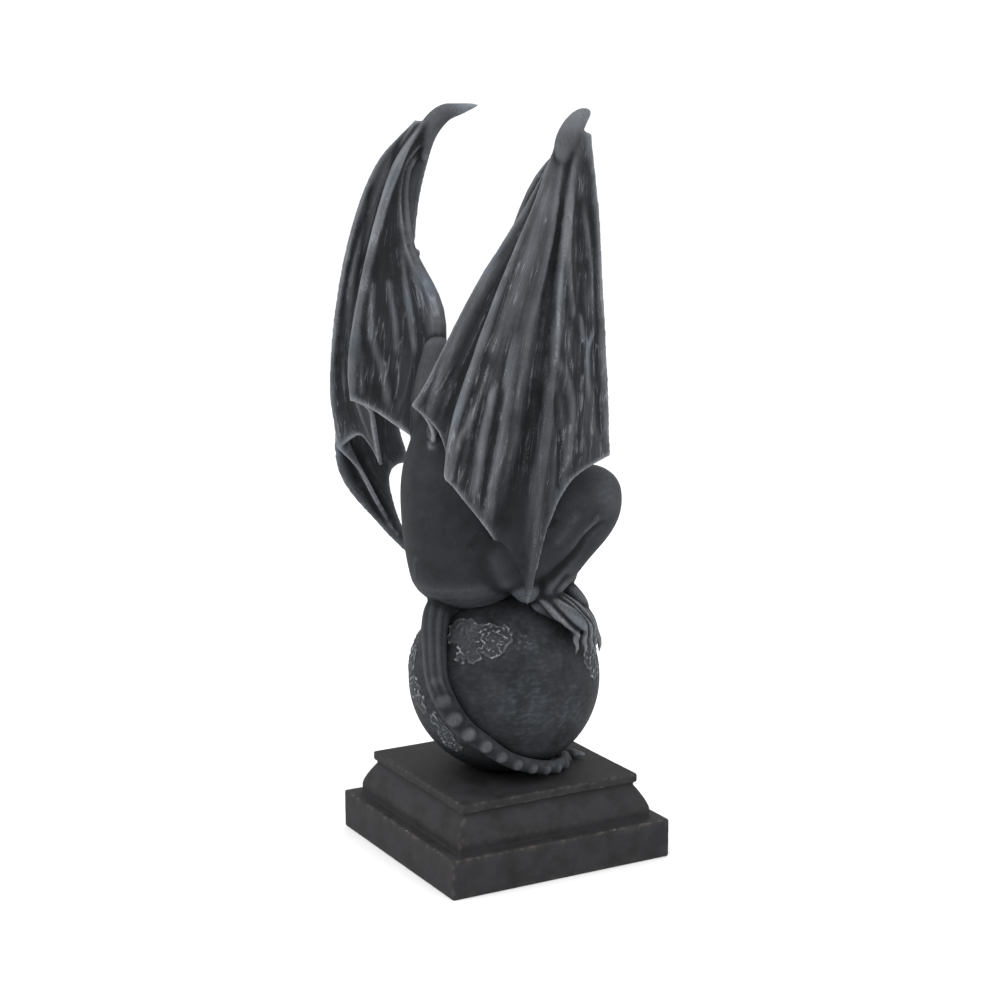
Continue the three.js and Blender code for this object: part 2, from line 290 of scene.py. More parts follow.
class Clay:
    """A mesh's points as an array, worked as a modeller works a surface."""

    def __init__(self, obj: bpy.types.Object) -> None:
        """Reads the points and the edges between them.

        Args:
            obj: The mesh's object.
        """
        self.obj = obj
        self.points = get_points(obj)
        edges = np.empty(len(obj.data.edges) * 2, int)
        obj.data.edges.foreach_get("vertices", edges)
        a, b = edges.reshape(-1, 2).T
        self.neighbours = np.concatenate([b, a])[np.argsort(np.concatenate([a, b]), kind="stable")]
        self.degree = np.bincount(edges, minlength=len(self.points))
        self.first = np.cumsum(self.degree) - self.degree
        self.facing = self.normals()

    def around(self, values: np.ndarray) -> np.ndarray:
        """The mean of each point's neighbours."""
        sums = np.add.reduceat(values[self.neighbours], self.first)
        return sums / (self.degree[:, None] if values.ndim == 2 else self.degree)

    def softened(self, values: np.ndarray, times: int, weight: float = 0.6) -> np.ndarray:
        """Values eased towards their neighbours' mean.

        Args:
            values: One row for each point.
            times: How many times over.
            weight: How far each time.

        Returns:
            The eased values.
        """
        for _ in range(times):
            values = values + weight * (self.around(values) - values)
        return values

    def smooth(self, times: int, weight: np.ndarray) -> None:
        """Smooths the surface as far as each point's weight says.

        Args:
            times: How many times over.
            weight: One share for each point, from 0 to 1.
        """
        rows = np.flatnonzero(weight > 0.004)
        if not len(rows):
            return
        many = self.degree[rows]
        starts = np.cumsum(many) - many
        beside = self.neighbours[np.arange(many.sum()) + np.repeat(self.first[rows] - starts, many)]
        share = weight[rows, None]
        for _ in range(times):
            mean = np.add.reduceat(self.points[beside], starts) / many[:, None]
            self.points[rows] += share * (mean - self.points[rows])

    def iron(self, times: int) -> None:
        """Takes out the finest steps and leaves the forms at their size."""
        for _ in range(times):
            self.points = self.softened(self.softened(self.points, 1, 0.6), 1, -0.63)

    def normals(self) -> np.ndarray:
        """The surface's outward directions at its points.

        Returns:
            One direction for each point.
        """
        self.write()
        found = np.empty((len(self.points), 3))
        self.obj.data.vertex_normals.foreach_get("vector", found.ravel())
        return found

    def push(self, heights: np.ndarray) -> None:
        """Moves each point outwards by its height in millimetres."""
        self.points += self.normals() * heights[:, None] * MM

    def stroke(self, line: Sequence[np.ndarray], width: float, height: float) -> None:
        """Raises a ridge along the surface, or cuts a crease where the height is below zero.

        Args:
            line: Points in metres, close to the surface, that the stroke follows.
            width: Its half width in millimetres.
            height: Its height in millimetres, faded at both ends.
        """
        path = Path(line).evenly(np.linspace(0, 1, 50))[0]
        reach = (3 * width + 4) * MM
        low, high = path.min(0) - reach, path.max(0) + reach
        near = np.flatnonzero(((self.points > low) & (self.points < high)).all(1))
        if not len(near):
            return
        cloud = self.points[near]
        normals = self.facing[near]
        settled = cloud[np.linalg.norm(cloud[:, None] - path[None], axis=2).argmin(0)]
        path[1:-1] = (settled[:-2] + settled[1:-1] + settled[2:]) / 3
        gap = np.linalg.norm(cloud[:, None] - path[None], axis=2)
        share = gap.argmin(1) / (len(path) - 1)
        fade = np.clip(np.minimum(share, 1 - share) * 6, 0, 1)
        lift = height * np.exp(-((gap.min(1) / (width * MM)) ** 2)) * fade
        self.points[near] += normals * lift[:, None] * MM

    def relief(self, times: int) -> np.ndarray:
        """How far each point stands out of the surface smoothed so many times, in millimetres."""
        base = self.softened(self.points, times, 0.7)
        return ((self.points - base) * self.normals()).sum(1) / MM

    def nearness(self, place: np.ndarray, size: float) -> np.ndarray:
        """1 at a place in metres, and less over a size in millimetres round it."""
        return np.exp(-(((self.points - place) ** 2).sum(1) / (size * MM) ** 2))

    def keep(self, name: str, values: np.ndarray) -> None:
        """Stores a number or a vector for each point as a named attribute.

        Args:
            name: The attribute's name.
            values: One row for each point.
        """
        kind, key = ("FLOAT", "value") if values.ndim == 1 else ("FLOAT_VECTOR", "vector")
        made = self.obj.data.attributes.get(name) or self.obj.data.attributes.new(name, kind, "POINT")
        made.data.foreach_set(key, values.astype(np.float32).ravel())

    def write(self) -> None:
        """Puts the points back into the mesh."""
        set_points(self.obj, self.points)

    def hold(self, node: str) -> None:
        """Keeps the points inside the box of a node of the frame."""
        low, high = (np.array(corner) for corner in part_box(node))
        self.points = np.clip(self.points, low, high)


def lumps(places: np.ndarray) -> np.ndarray:
    """Smooth noise from -1 to 1 with lumps about 1 across."""
    return np.fromiter((noise.noise(place) for place in places.tolist()), float, len(places))


def noise_at(points: np.ndarray, size: float, seed: float = 0.0) -> np.ndarray:
    """Smooth noise from -1 to 1 at points in metres, with lumps of a size in millimetres."""
    return lumps(points / (size * MM) + seed)


@dataclass(frozen=True)
class Limb:
    """A round limb along a line.

    Attributes:
        points: The line's points in metres.
        radii: Its radii in millimetres, spread over its length.
        depth: The section's depth as a share of its width, spread in the same way.
        width: The way that the section's width runs.
        blunt: How far the first end is rounded off, as a share of its radius.
        around: Points round the section.
        along: Rows of points along the line.
    """

    points: Sequence[np.ndarray]
    radii: Sequence[float]
    depth: Sequence[float] = (1.0,)
    width: Point = (1.0, 0.0, 0.0)
    blunt: float = 1.0
    around: int = 20
    along: int = 32

    def build(self) -> bpy.types.Object:
        """Draws a ball out along the line.

        Returns:
            The limb's object.
        """
        path = Path(self.points)
        length = path.length() / MM
        caps = [min(self.blunt * self.radii[0] / length, 0.3), min(self.radii[-1] / length, 0.3)]
        bpy.ops.mesh.primitive_uv_sphere_add(segments=self.around, ring_count=self.along, radius=1)
        ball = bpy.context.active_object
        place = get_points(ball)
        polar = np.arccos(np.clip(place[:, 2], -1, 1)) / math.pi
        turn = np.arctan2(place[:, 1], place[:, 0])
        end = 0.16
        share = caps[0] + (1 - caps[0] - caps[1]) * np.clip((polar - end) / (1 - 2 * end), 0, 1)
        cap = np.ones(len(polar))
        for which, t in ((0, polar / end), (1, (1 - polar) / end)):
            inside = t < 1
            arc = t[inside] * math.pi / 2
            reach = caps[which] * (1 - np.cos(arc))
            share[inside] = reach if which == 0 else 1 - reach
            cap[inside] = np.sin(arc)
        centre, ahead = path.evenly(share)
        across = np.tile(np.asarray(self.width, float), (len(share), 1))
        across[np.abs((across * ahead).sum(1)) > 0.9] = (0, 1, 0)
        across -= ahead * (across * ahead).sum(1)[:, None]
        across /= np.linalg.norm(across, axis=1)[:, None]
        out = np.cross(across, ahead)
        radius = (spread(self.radii, share) * cap * MM)[:, None]
        flat = spread(self.depth, share)[:, None]
        beside = across * np.cos(turn)[:, None] * radius
        above = out * np.sin(turn)[:, None] * radius * flat
        set_points(ball, centre + beside + above)
        return ball


# Finishes.


def linear(hex_code: str) -> tuple[float, float, float, float]:
    """An sRGB hex colour as linear values.

    Args:
        hex_code: The colour, as a hash and six digits.

    Returns:
        Red, green, blue and alpha.
    """
    parts = [int(hex_code[i : i + 2], 16) / 255 for i in (1, 3, 5)]
    made = [p / 12.92 if p <= 0.04045 else ((p + 0.055) / 1.055) ** 2.4 for p in parts]
    return (made[0], made[1], made[2], 1.0)


def add_node(
    tree: bpy.types.NodeTree, kind: str, settings: dict | None = None, links: dict | None = None
) -> bpy.types.Node:
    """Adds a node.

    Args:
        tree: The material's node tree.
        kind: The node's type.
        settings: Values for its sockets, by name or number, and for its properties.
        links: Sockets of other nodes that feed its own, by name or number.

    Returns:
        The node.
    """
    node = tree.nodes.new(kind)
    for key, value in (settings or {}).items():
        if isinstance(key, int) or key in node.inputs:
            node.inputs[key].default_value = value
        else:
            setattr(node, key, value)
    for key, socket in (links or {}).items():
        tree.links.new(socket, node.inputs[key])
    return node


@dataclass(frozen=True)
class CastResin:
    """Cold-cast polyester resin, sprayed matte charcoal and dry brushed by hand with pale paint.

    The eye sees a dull near-black with a grey bloom on every raised line, and shade painted into the hollows.

    Attributes:
        name: The material's name.
        paint: The charcoal coat.
        dark_tone_and_shade: A darker tone, laid at random as a mottle, and the colour of the shade painted
            into the hollows and under the globe.
        brush: The pale paint on the raised lines.
        tint: A second pale paint, laid in patches.
        grain: The size of the matte coat's grain in millimetres.
        roughness: The coat's roughness.
        gloss: Its specular level.
    """

    name: str
    paint: str
    dark_tone_and_shade: str
    brush: str
    tint: str
    grain: float = 0.7
    roughness: float = 0.66
    gloss: float = 0.14

    def material(self) -> bpy.types.Material:
        """Builds the node tree.

        Returns:
            The material.
        """
        made = bpy.data.materials.new(self.name)
        made.use_nodes = True
        tree = made.node_tree
        tree.nodes.clear()
        place = add_node(tree, "ShaderNodeTexCoord").outputs["Object"]
        worn, painted_shade, patch, vein = (
            add_node(tree, "ShaderNodeAttribute", {"attribute_name": name}).outputs["Fac"]
            for name in ("worn", "painted_shade", "patch", "vein")
        )
        flow = add_node(tree, "ShaderNodeAttribute", {"attribute_name": "flow"}).outputs["Vector"]
        drawn = add_node(
            tree, "ShaderNodeVectorMath", {"operation": "MULTIPLY", 1: (0.13, 0.18, 1.0)}, {0: flow}
        ).outputs[0]
        marks, threads, cloud, grain = (
            add_node(
                tree,
                "ShaderNodeTexNoise",
                {"Scale": scale, "Detail": detail, "Roughness": roughness},
                {"Vector": vector},
            ).outputs["Fac"]
            for scale, detail, roughness, vector in (
                (1.0, 4.0, 0.65, flow),
                (1.0, 2.0, 0.55, drawn),
                (1 / (14 * MM), 5.0, 0.6, place),
                (1 / (self.grain * MM), 3.0, 0.6, place),
            )
        )
        broken = add_node(
            tree, "ShaderNodeMapRange", {1: 0.36, 2: 0.66, 3: 0.72, 4: 1.22}, {0: marks}
        ).outputs[0]
        # A thread runs where its noise passes the middle value.
        centred = add_node(tree, "ShaderNodeMath", {"operation": "SUBTRACT", 1: 0.5}, {0: threads}).outputs[0]
        apart = add_node(tree, "ShaderNodeMath", {"operation": "ABSOLUTE"}, {0: centred}).outputs[0]
        thread = add_node(
            tree, "ShaderNodeMapRange", {1: 0.0, 2: 0.02, 3: 1.0, 4: 0.0}, {0: apart}
        ).outputs[0]
        gaps = add_node(tree, "ShaderNodeMapRange", {1: 0.42, 2: 0.6}, {0: cloud}).outputs[0]
        shown = add_node(tree, "ShaderNodeMath", {"operation": "MULTIPLY"}, {0: thread, 1: gaps}).outputs[0]
        veins = add_node(tree, "ShaderNodeMath", {"operation": "MULTIPLY"}, {0: shown, 1: vein}).outputs[0]
        lit = add_node(
            tree, "ShaderNodeMath", {"operation": "MULTIPLY_ADD", 1: 0.45}, {0: veins, 2: worn}
        ).outputs[0]
        brushed, patched = (
            add_node(
                tree, "ShaderNodeMath", {"operation": "MULTIPLY", "use_clamp": True}, {0: amount, 1: broken}
            ).outputs[0]
            for amount in (lit, patch)
        )
        mottle = add_node(tree, "ShaderNodeMapRange", {1: 0.25, 2: 0.6}, {0: cloud}).outputs[0]
        colour = add_node(
            tree,
            "ShaderNodeMix",
            {"data_type": "RGBA", 6: linear(self.dark_tone_and_shade), 7: linear(self.paint)},
            {0: mottle},
        ).outputs[2]
        # The last mix darkens the colour with painted shade, in the hollows and under the globe.
        for paint, amount in ((self.brush, brushed), (self.tint, patched), (self.dark_tone_and_shade, painted_shade)):
            colour = add_node(
                tree,
                "ShaderNodeMix",
                {"data_type": "RGBA", 7: linear(paint)},
                {0: amount, 6: colour},
            ).outputs[2]
        rough = add_node(
            tree, "ShaderNodeMapRange", {3: self.roughness - 0.06, 4: self.roughness + 0.12}, {0: cloud}
        ).outputs[0]
        raised = add_node(tree, "ShaderNodeMath", {"operation": "ADD"}, {0: veins, 1: grain}).outputs[0]
        height = add_node(
            tree, "ShaderNodeMath", {"operation": "MULTIPLY_ADD", 1: 0.5}, {0: marks, 2: raised}
        ).outputs[0]
        bump = add_node(
            tree, "ShaderNodeBump", {"Strength": 0.35, "Distance": 0.35 * MM}, {"Height": height}
        ).outputs[0]
        shader = add_node(
            tree,
            "ShaderNodeBsdfPrincipled",
            {"Specular IOR Level": self.gloss, "IOR": 1.5},
            {"Base Color": colour, "Roughness": rough, "Normal": bump},
        )
        add_node(tree, "ShaderNodeOutputMaterial", None, {"Surface": shader.outputs[0]})
        return made


FIGURE_RESIN = CastResin("dry_brushed_charcoal_resin", "#212226", "#0f1012", "#85888e", "#5a6874")
GLOBE_RESIN = CastResin("charcoal_resin_globe", "#28292d", "#111214", "#8d9195", "#4a565e")
PLINTH_RESIN = CastResin("charcoal_resin_plinth", "#2b2b2d", "#1a1a1b", "#57504a", "#8a8a8c", grain=1.1)


# Pieces.


@dataclass
class Plinth:
    """The stepped square plinth: slab, block with sloped sides, and thin cap, in millimetres.

    Attributes:
        slab_width: The slab's side.
        slab_height: Its height.
        block_width: The side of the block's foot.
        block_foot: The height of its upright foot.
        neck_width: The side of its top, under the cap.
        cap_width: The cap's side.
        cap_thickness: Its thickness.
        cap_flare: The height over which the neck widens to the cap.
        slope_roundness: The power of the slope's curve.
        slope_steps: How many steps the slope is made of.
        edge: The width of the edges' bevels.
        seat_room: How far the globe's seat stands off the globe.
        triangles: The most triangles that the finished plinth has.
        level: The height that the modelling has reached.
        width: The side at that height.
    """

    slab_width: float = 140.0
    slab_height: float = 22.4
    block_width: float = 124.2
    block_foot: float = 5.5
    neck_width: float = 109.0
    cap_width: float = 113.6
    cap_thickness: float = 5.7
    cap_flare: float = 0.6
    slope_roundness: float = 1.35
    slope_steps: int = 6
    edge: float = 0.9
    seat_room: float = 0.3
    triangles: int = 90000
    level: float = field(default=0.0, init=False)
    width: float = field(default=0.0, init=False)

    def step(self, width: float, height: float) -> None:
        """Extrudes the selected top up to a height and scales it to a width.

        Args:
            width: The width in millimetres.
            height: The height in millimetres.
        """
        rise = (height - self.level) * MM
        bpy.ops.mesh.extrude_region_move(TRANSFORM_OT_translate={"value": (0, 0, rise)})
        ratio = width / self.width
        bpy.ops.transform.resize(value=(ratio, ratio, 1), center_override=(0, 0, 0))
        self.level, self.width = height, width

    def build(self) -> bpy.types.Object:
        """Models the plinth from a slab, upwards.

        Returns:
            The plinth's object.
        """
        deselect()
        half = self.slab_height / 2 * MM
        side = self.slab_width * MM
        bpy.ops.mesh.primitive_cube_add(size=1, location=(0, 0, half), scale=(side, side, 2 * half))
        plinth = bpy.context.active_object
        bpy.ops.object.transform_apply(location=True, scale=True)
        plinth.name = plinth.data.name = "plinth_cast"
        bpy.ops.object.mode_set(mode="EDIT")
        bpy.ops.mesh.select_all(action="DESELECT")
        bpy.ops.object.mode_set(mode="OBJECT")
        for face in plinth.data.polygons:
            face.select = face.normal.z > 0.9
        bpy.ops.object.mode_set(mode="EDIT")
        bpy.ops.mesh.select_mode(type="FACE")
        self.level, self.width = self.slab_height, self.slab_width
        bpy.ops.mesh.inset(thickness=(self.slab_width - self.block_width) / 2 * MM)
        self.width = self.block_width
        foot = self.slab_height + self.block_foot
        self.step(self.block_width, foot)
        neck = PLINTH_TOP / MM - self.cap_thickness
        for i in range(1, self.slope_steps + 1):
            share = i / self.slope_steps
            width = self.block_width - (self.block_width - self.neck_width) * share**self.slope_roundness
            self.step(width, foot + (neck - foot) * share)
        self.step(self.cap_width, neck + self.cap_flare)
        self.step(self.cap_width, PLINTH_TOP / MM)
        bpy.ops.object.mode_set(mode="OBJECT")
        sharp = math.radians(40)
        modify(plinth, "BEVEL", width=self.edge * MM, segments=3, limit_method="ANGLE", angle_limit=sharp)
        seat = GLOBE_RADIUS + self.seat_room * MM
        bpy.ops.mesh.primitive_uv_sphere_add(segments=96, ring_count=48, radius=seat, location=GLOBE_CENTRE)
        ball = bpy.context.active_object
        modify(plinth, "BOOLEAN", operation="DIFFERENCE", object=ball, solver="EXACT")
        bpy.data.objects.remove(ball)
        remeshed(plinth, 1.0)
        return plinth

    def finish(self, plinth: bpy.types.Object) -> None:
        """Adds the casting's small unevenness, wears the edges, paints shade into the hollows and a shadow
        round the globe's seat, and dresses the plinth.

        Args:
            plinth: The plinth's object.
        """
        clay = Clay(plinth)
        clay.points = clay.softened(clay.points, 1, 0.4)
        uneven = 0.18 * noise_at(clay.points, 24) + 0.06 * noise_at(clay.points, 5, 3.1)
        clay.push(uneven * smoothstep(0.0, 3 * MM, clay.points[:, 2]))
        clay.hold("plinth")
        stands = clay.softened(clay.relief(4), 1)
        chips = noise_at(clay.points, 3.0, 7.0)
        worn = np.clip(stands * 2.0, 0, 1) * (0.12 + 0.88 * smoothstep(0.0, 0.4, chips))
        # Painted shadow on the top round the globe's seat, and painted shade in the plinth's hollows.
        apart = np.linalg.norm(clay.points[:, :2] - GLOBE_CENTRE[:2], axis=1)
        seat = (1 - smoothstep(24 * MM, 38 * MM, apart)) * (clay.points[:, 2] > PLINTH_TOP - 5 * MM)
        clay.keep("worn", np.clip(worn, 0, 0.6))
        clay.keep("painted_shade", np.clip(-stands * 1.6 + seat, 0, 0.9))
        clay.keep("patch", smoothstep(0.62, 0.8, noise_at(clay.points, 2.2, 11.0)) * (stands > 0.2))
        clay.keep("flow", clay.points / (1.6 * MM))
        clay.write()
        thinned(plinth, self.triangles)
        dress(plinth, PLINTH_RESIN, "plinth")


@dataclass
class Globe:
    """The globe, with raised lands.

    Attributes:
        lands: Degrees round, degrees up and reach in degrees of the lumps that make up the lands.
        crags: Where the land breaks up into sharp crests, in the same way.
        haze: Where the sea and the coast are tinted, in the same way.
        land_height: How far the land stands out, in millimetres.
        triangles: The most triangles that the finished globe has.
    """

    lands: tuple[Point, ...] = (
        (-155, 38, 9),
        (-144, 32, 10),
        (-147, 41, 9),
        (-128, 37, 9),
        (-119, 39, 6),
        (148, 20, 9),
        (162, 13, 9),
        (174, -2, 8),
        (-179, -11, 7),
        (-165, -16, 5),
        (-161, -25, 6),
        (-159, -34, 5),
        (-57, 15, 5),
        (-50, 11, 7),
        (-47, 21, 6),
        (-25, 30, 16),
        (5, 5, 20),
        (20, -22, 15),
        (60, 30, 22),
        (95, -5, 16),
        (100, 40, 18),
        (140, 45, 16),
        (135, -30, 13),
    )
    crags: tuple[Point, ...] = (
        (-127, 35, 10),
        (-118, 40, 7),
        (-104, 34, 6),
        (155, 16, 14),
        (174, -4, 11),
        (-163, -18, 8),
        (-160, -29, 8),
        (-51, 14, 8),
    )
    haze: tuple[Point, ...] = ((-105, -3, 17), (-76, -8, 12), (-164, -22, 10), (-98, 29, 9))
    land_height: float = 1.0
    triangles: int = 160000

    def build(self) -> bpy.types.Object:
        """Starts the globe as a fine ball.

        Returns:
            The globe's object.
        """
        deselect()
        bpy.ops.mesh.primitive_ico_sphere_add(subdivisions=8, radius=GLOBE_RADIUS, location=GLOBE_CENTRE)
        globe = bpy.context.active_object
        bpy.ops.object.transform_apply(location=True)
        globe.name = globe.data.name = "globe_cast"
        return globe

    def reach(self, way: np.ndarray, lumps: Sequence[Point]) -> np.ndarray:
        """How far inside the nearest lump each direction is, in degrees.

        Args:
            way: Directions from the globe's centre.
            lumps: Degrees round, degrees up and reach of each lump.

        Returns:
            The degrees, below zero outside.
        """
        found = np.full(len(way), -90.0)
        for turn, rise, size in lumps:
            middle = (on_globe(turn, rise, 0) - GLOBE_CENTRE) / GLOBE_RADIUS
            apart = np.degrees(np.arccos(np.clip(way @ middle, -1, 1)))
            found = np.maximum(found, size - apart)
        return found

    def finish(self, globe: bpy.types.Object) -> None:
        """Raises the lands, roughens them, paints shade into the hollows and a shadow on the underside, and
        dresses the globe.

        Args:
            globe: The globe's object.
        """
        clay = Clay(globe)
        way = (clay.points - GLOBE_CENTRE) / GLOBE_RADIUS
        coast = 4.5 * noise_at(clay.points, 16, 2.0) + 3.0 * noise_at(clay.points, 6, 5.0)
        coast += 1.8 * noise_at(clay.points, 2.6, 8.0)
        land = self.reach(way, self.lands) + coast
        inside = smoothstep(-0.5, 0.7, land)
        hills = noise_at(clay.points, 3.4, 1.0) + 0.7 * noise_at(clay.points, 1.5, 4.0)
        broken = smoothstep(-0.1, 0.35, noise_at(clay.points, 5.0, 15.0))
        bank = np.exp(-((land - 1.0) ** 2) / 0.9) * broken
        crag = smoothstep(-3, 4, self.reach(way, self.crags) + 0.6 * coast)
        crests = np.clip(1 - 5 * np.abs(noise_at(clay.points, 3.1, 21.0) + 0.4 * hills), 0, 1)
        crests *= smoothstep(-0.25, 0.3, noise_at(clay.points, 2.4, 25.0))
        height = -self.land_height + inside * (0.35 + 0.12 * hills * (0.4 + broken)) + bank * 0.4
        height += crag * crests * (0.2 + 0.45 * inside)
        height += 0.05 * noise_at(clay.points, 9, 6.0) * (1 - inside)
        clay.points = GLOBE_CENTRE + way * (GLOBE_RADIUS + height[:, None] * MM)
        clay.hold("globe")
        stands = clay.relief(10)
        streaks = np.clip(noise_at(clay.points * np.array([1, 1, 2.2]), 3.2, 9.0) + 0.1, 0, 1)
        haze = smoothstep(-6, 8, self.reach(way, self.haze) + 0.8 * coast)
        # Painted shadow: the underside is darkened and kept free of pale paint and tint; the hollows get
        # painted shade.
        under = smoothstep(0.55, 0.8, -way[:, 2])
        worn = np.clip(stands * 2.4, 0, 1) * np.maximum(inside, crag) * (0.5 + 0.5 * broken)
        worn += 0.05 * streaks + 0.04 * inside + 0.12 * crag * crests
        clay.keep("worn", np.clip(worn, 0, 0.95) * (1 - under))
        clay.keep("painted_shade", np.clip(np.clip(-stands * 3.0, 0, 0.7) + 0.9 * under, 0, 1))
        clay.keep("patch", haze * (0.05 + 0.3 * streaks) * (1 - under))
        clay.keep("flow", clay.points * np.array([1, 1, 0.35]) / (0.8 * MM))
        clay.write()
        thinned(globe, self.triangles)
        dress(globe, GLOBE_RESIN, "globe")


@dataclass(frozen=True)
class Fold:
    """A raised or sunken line of a wing's skin, on both of its faces.

    Attributes:
        stops: Its points on the wing: which panel and how far across it, and how far down.
        width: Its half width in millimetres.
        height: How far it lifts the skin outwards in millimetres.
    """

    stops: tuple[tuple[float, float], ...]
    width: float
    height: float


@dataclass
class Wing:
    """A folded bat wing: finger bones from the wrist to its hem, with skin between them.

    Attributes:
        side: The side that it is on.
        wrist: Where the bones start.
        claw_tip: The end of the wrist's claw.
        arm_shift: How far the arm lies off the first bone, behind the skin.
        ribs: The bones' points; the first is the arm.
        sags: How far the skin hangs in between two bones, half way down and at the hem.
        cuts: Shares of the bones' lengths that the hem is cut back by, with the cut's power.
        folds: The skin's folds.
        thickness: The skin's thickness.
        rows: Rows of points down the skin.
        columns: Columns of points in each panel.
    """

    side: Side
    wrist: Point
    claw_tip: Point
    arm_shift: Point
    ribs: tuple[tuple[Point, ...], ...]
    sags: tuple[tuple[float, float], ...]
    cuts: tuple[tuple[float, ...], ...]
    folds: tuple[Fold, ...] = ()
    thickness: float = 2.6
    rows: int = 170
    columns: int = 40
    paths: list[Path] = field(default_factory=list)

    def __post_init__(self) -> None:
        """Makes the bones' lines."""
        self.paths = [Path([at(*p) for p in rib]) for rib in self.ribs]

    @property
    def panels(self) -> int:
        """How many panels the skin has."""
        return len(self.ribs) - 1

    def middle(self, turn: np.ndarray, down: np.ndarray) -> np.ndarray:
        """Points stretched flat between the bones.

        Args:
            turn: Which panel, and how far across it.
            down: How far from the wrist to the hem, from 0 to 1.

        Returns:
            The points.
        """
        made = np.empty((len(turn), 3))
        first = np.clip(turn.astype(int), 0, self.panels - 1)
        for panel in range(self.panels):
            here = first == panel
            across = (turn[here] - panel)[:, None]
            cut_a, cut_b, power = (*self.cuts[panel], 4.0)[:3]
            back_a = 1 - cut_a * (1 - (1 - across[:, 0]) ** power)
            back_b = 1 - cut_b * (1 - across[:, 0] ** power)
            a = self.paths[panel].at(down[here] * back_a)
            b = self.paths[panel + 1].at(down[here] * back_b)
            made[here] = a + (b - a) * across
        return made

    def frame(self, turn: np.ndarray, down: np.ndarray) -> tuple[np.ndarray, np.ndarray, np.ndarray]:
        """The skin's two directions and its inward one, per unit of turn and down.

        Args:
            turn: Which panel, and how far across it.
            down: How far from the wrist to the hem, from 0 to 1.

        Returns:
            The three directions at each place.
        """
        step = 0.02
        t = np.clip(turn, step, self.panels - step)
        d = np.clip(down, step, 1 - step)
        wide = (self.middle(t + step, d) - self.middle(t - step, d)) / (2 * step)
        long = (self.middle(t, d + step) - self.middle(t, d - step)) / (2 * step)
        inward = np.cross(wide, long) * -self.side.value
        return wide, long, inward / np.linalg.norm(inward, axis=1)[:, None]

    def stretched(self, turn: np.ndarray, down: np.ndarray) -> np.ndarray:
        """Points half way through the skin, with its sag and no folds.

        Args:
            turn: Which panel, and how far across it.
            down: How far from the wrist to the hem, from 0 to 1.

        Returns:
            The points in metres.
        """
        wide, _, inward = self.frame(turn, down)
        panel = np.clip((turn + 1e-6).astype(int), 0, self.panels - 1)
        across = np.clip(turn - panel, 0, 1)
        sags = np.asarray(self.sags)[panel]
        most = 0.17 * np.linalg.norm(wide, axis=1) / MM
        depth = (sags[:, 0] + (sags[:, 1] - sags[:, 0]) * down) * np.minimum(1, down * 2.5)
        depth = np.clip(depth, -most, most)
        return self.middle(turn, down) + inward * (depth * np.sin(math.pi * across) * MM)[:, None]

    def surface(self, turn: np.ndarray, down: np.ndarray) -> np.ndarray:
        """Points half way through the skin, with its sag and its folds.

        Args:
            turn: Which panel, and how far across it.
            down: How far from the wrist to the hem, from 0 to 1.

        Returns:
            The points in metres.
        """
        place = self.stretched(turn, down)
        lift = np.zeros(len(turn))
        for fold in self.folds:
            line, ahead = Path(self.stretched(*np.array(fold.stops).T)).evenly(np.linspace(0, 1, 40))
            nearest = np.linalg.norm(place[:, None] - line[None], axis=2).argmin(1)
            off = place - line[nearest]
            step = np.linalg.norm(line[1] - line[0])
            past = np.clip((off * ahead[nearest]).sum(1), -step, step)
            gap = np.linalg.norm(off - ahead[nearest] * past[:, None], axis=1)
            share = (nearest + past / step) / (len(line) - 1)
            fade = smoothstep(0, 0.18, share) * smoothstep(0, 0.12, 1.02 - share)
            lift += fold.height * np.exp(-((gap / (fold.width * MM)) ** 2)) * fade
        return place - self.frame(turn, down)[2] * (lift * MM)[:, None]

    def skin(self) -> bpy.types.Object:
        """Shapes a grid into the skin and gives it its thickness.

        Returns:
            The skin's object.
        """
        bpy.ops.mesh.primitive_grid_add(
            x_subdivisions=self.panels * self.columns, y_subdivisions=self.rows, size=1
        )
        grid = bpy.context.active_object
        flat = get_points(grid)
        set_points(grid, self.surface((flat[:, 0] + 0.5) * self.panels, 0.5 - flat[:, 1]))
        modify(grid, "SOLIDIFY", thickness=self.thickness * MM, offset=0.0)
        return grid

    def build(self) -> list[bpy.types.Object]:
        """Builds the skin, the arm, the claw and the elbow's knuckles.

        Returns:
            Their objects.
        """
        s = self.side.value
        x, y, z = self.wrist
        shift = np.array(self.arm_shift) * MM
        arm = Limb([at(*p) + shift for p in self.ribs[0]], (3.4, 4.6, 5.3, 7.4, 7))
        claw = Limb(
            [
                at(x + s, y + 8, z - 16),
                at(x + s, y + 5, z),
                at(x - 2 * s, y - 4, z + 11),
                at(x - 8 * s, y - 13, z + 14),
                at(*self.claw_tip),
            ],
            (2.5, 5.6, 5.8, 3.8, 0.5),
        )
        knuckles = [
            Limb([at(s * 60, 24, 186), at(s * 59, 22, 182)], (3, 2.6)),
            Limb([at(s * 53, 24, 177), at(s * 52, 23, 174)], (2.8, 2.2)),
        ]
        return [self.skin(), *(limb.build() for limb in (arm, claw, *knuckles))]


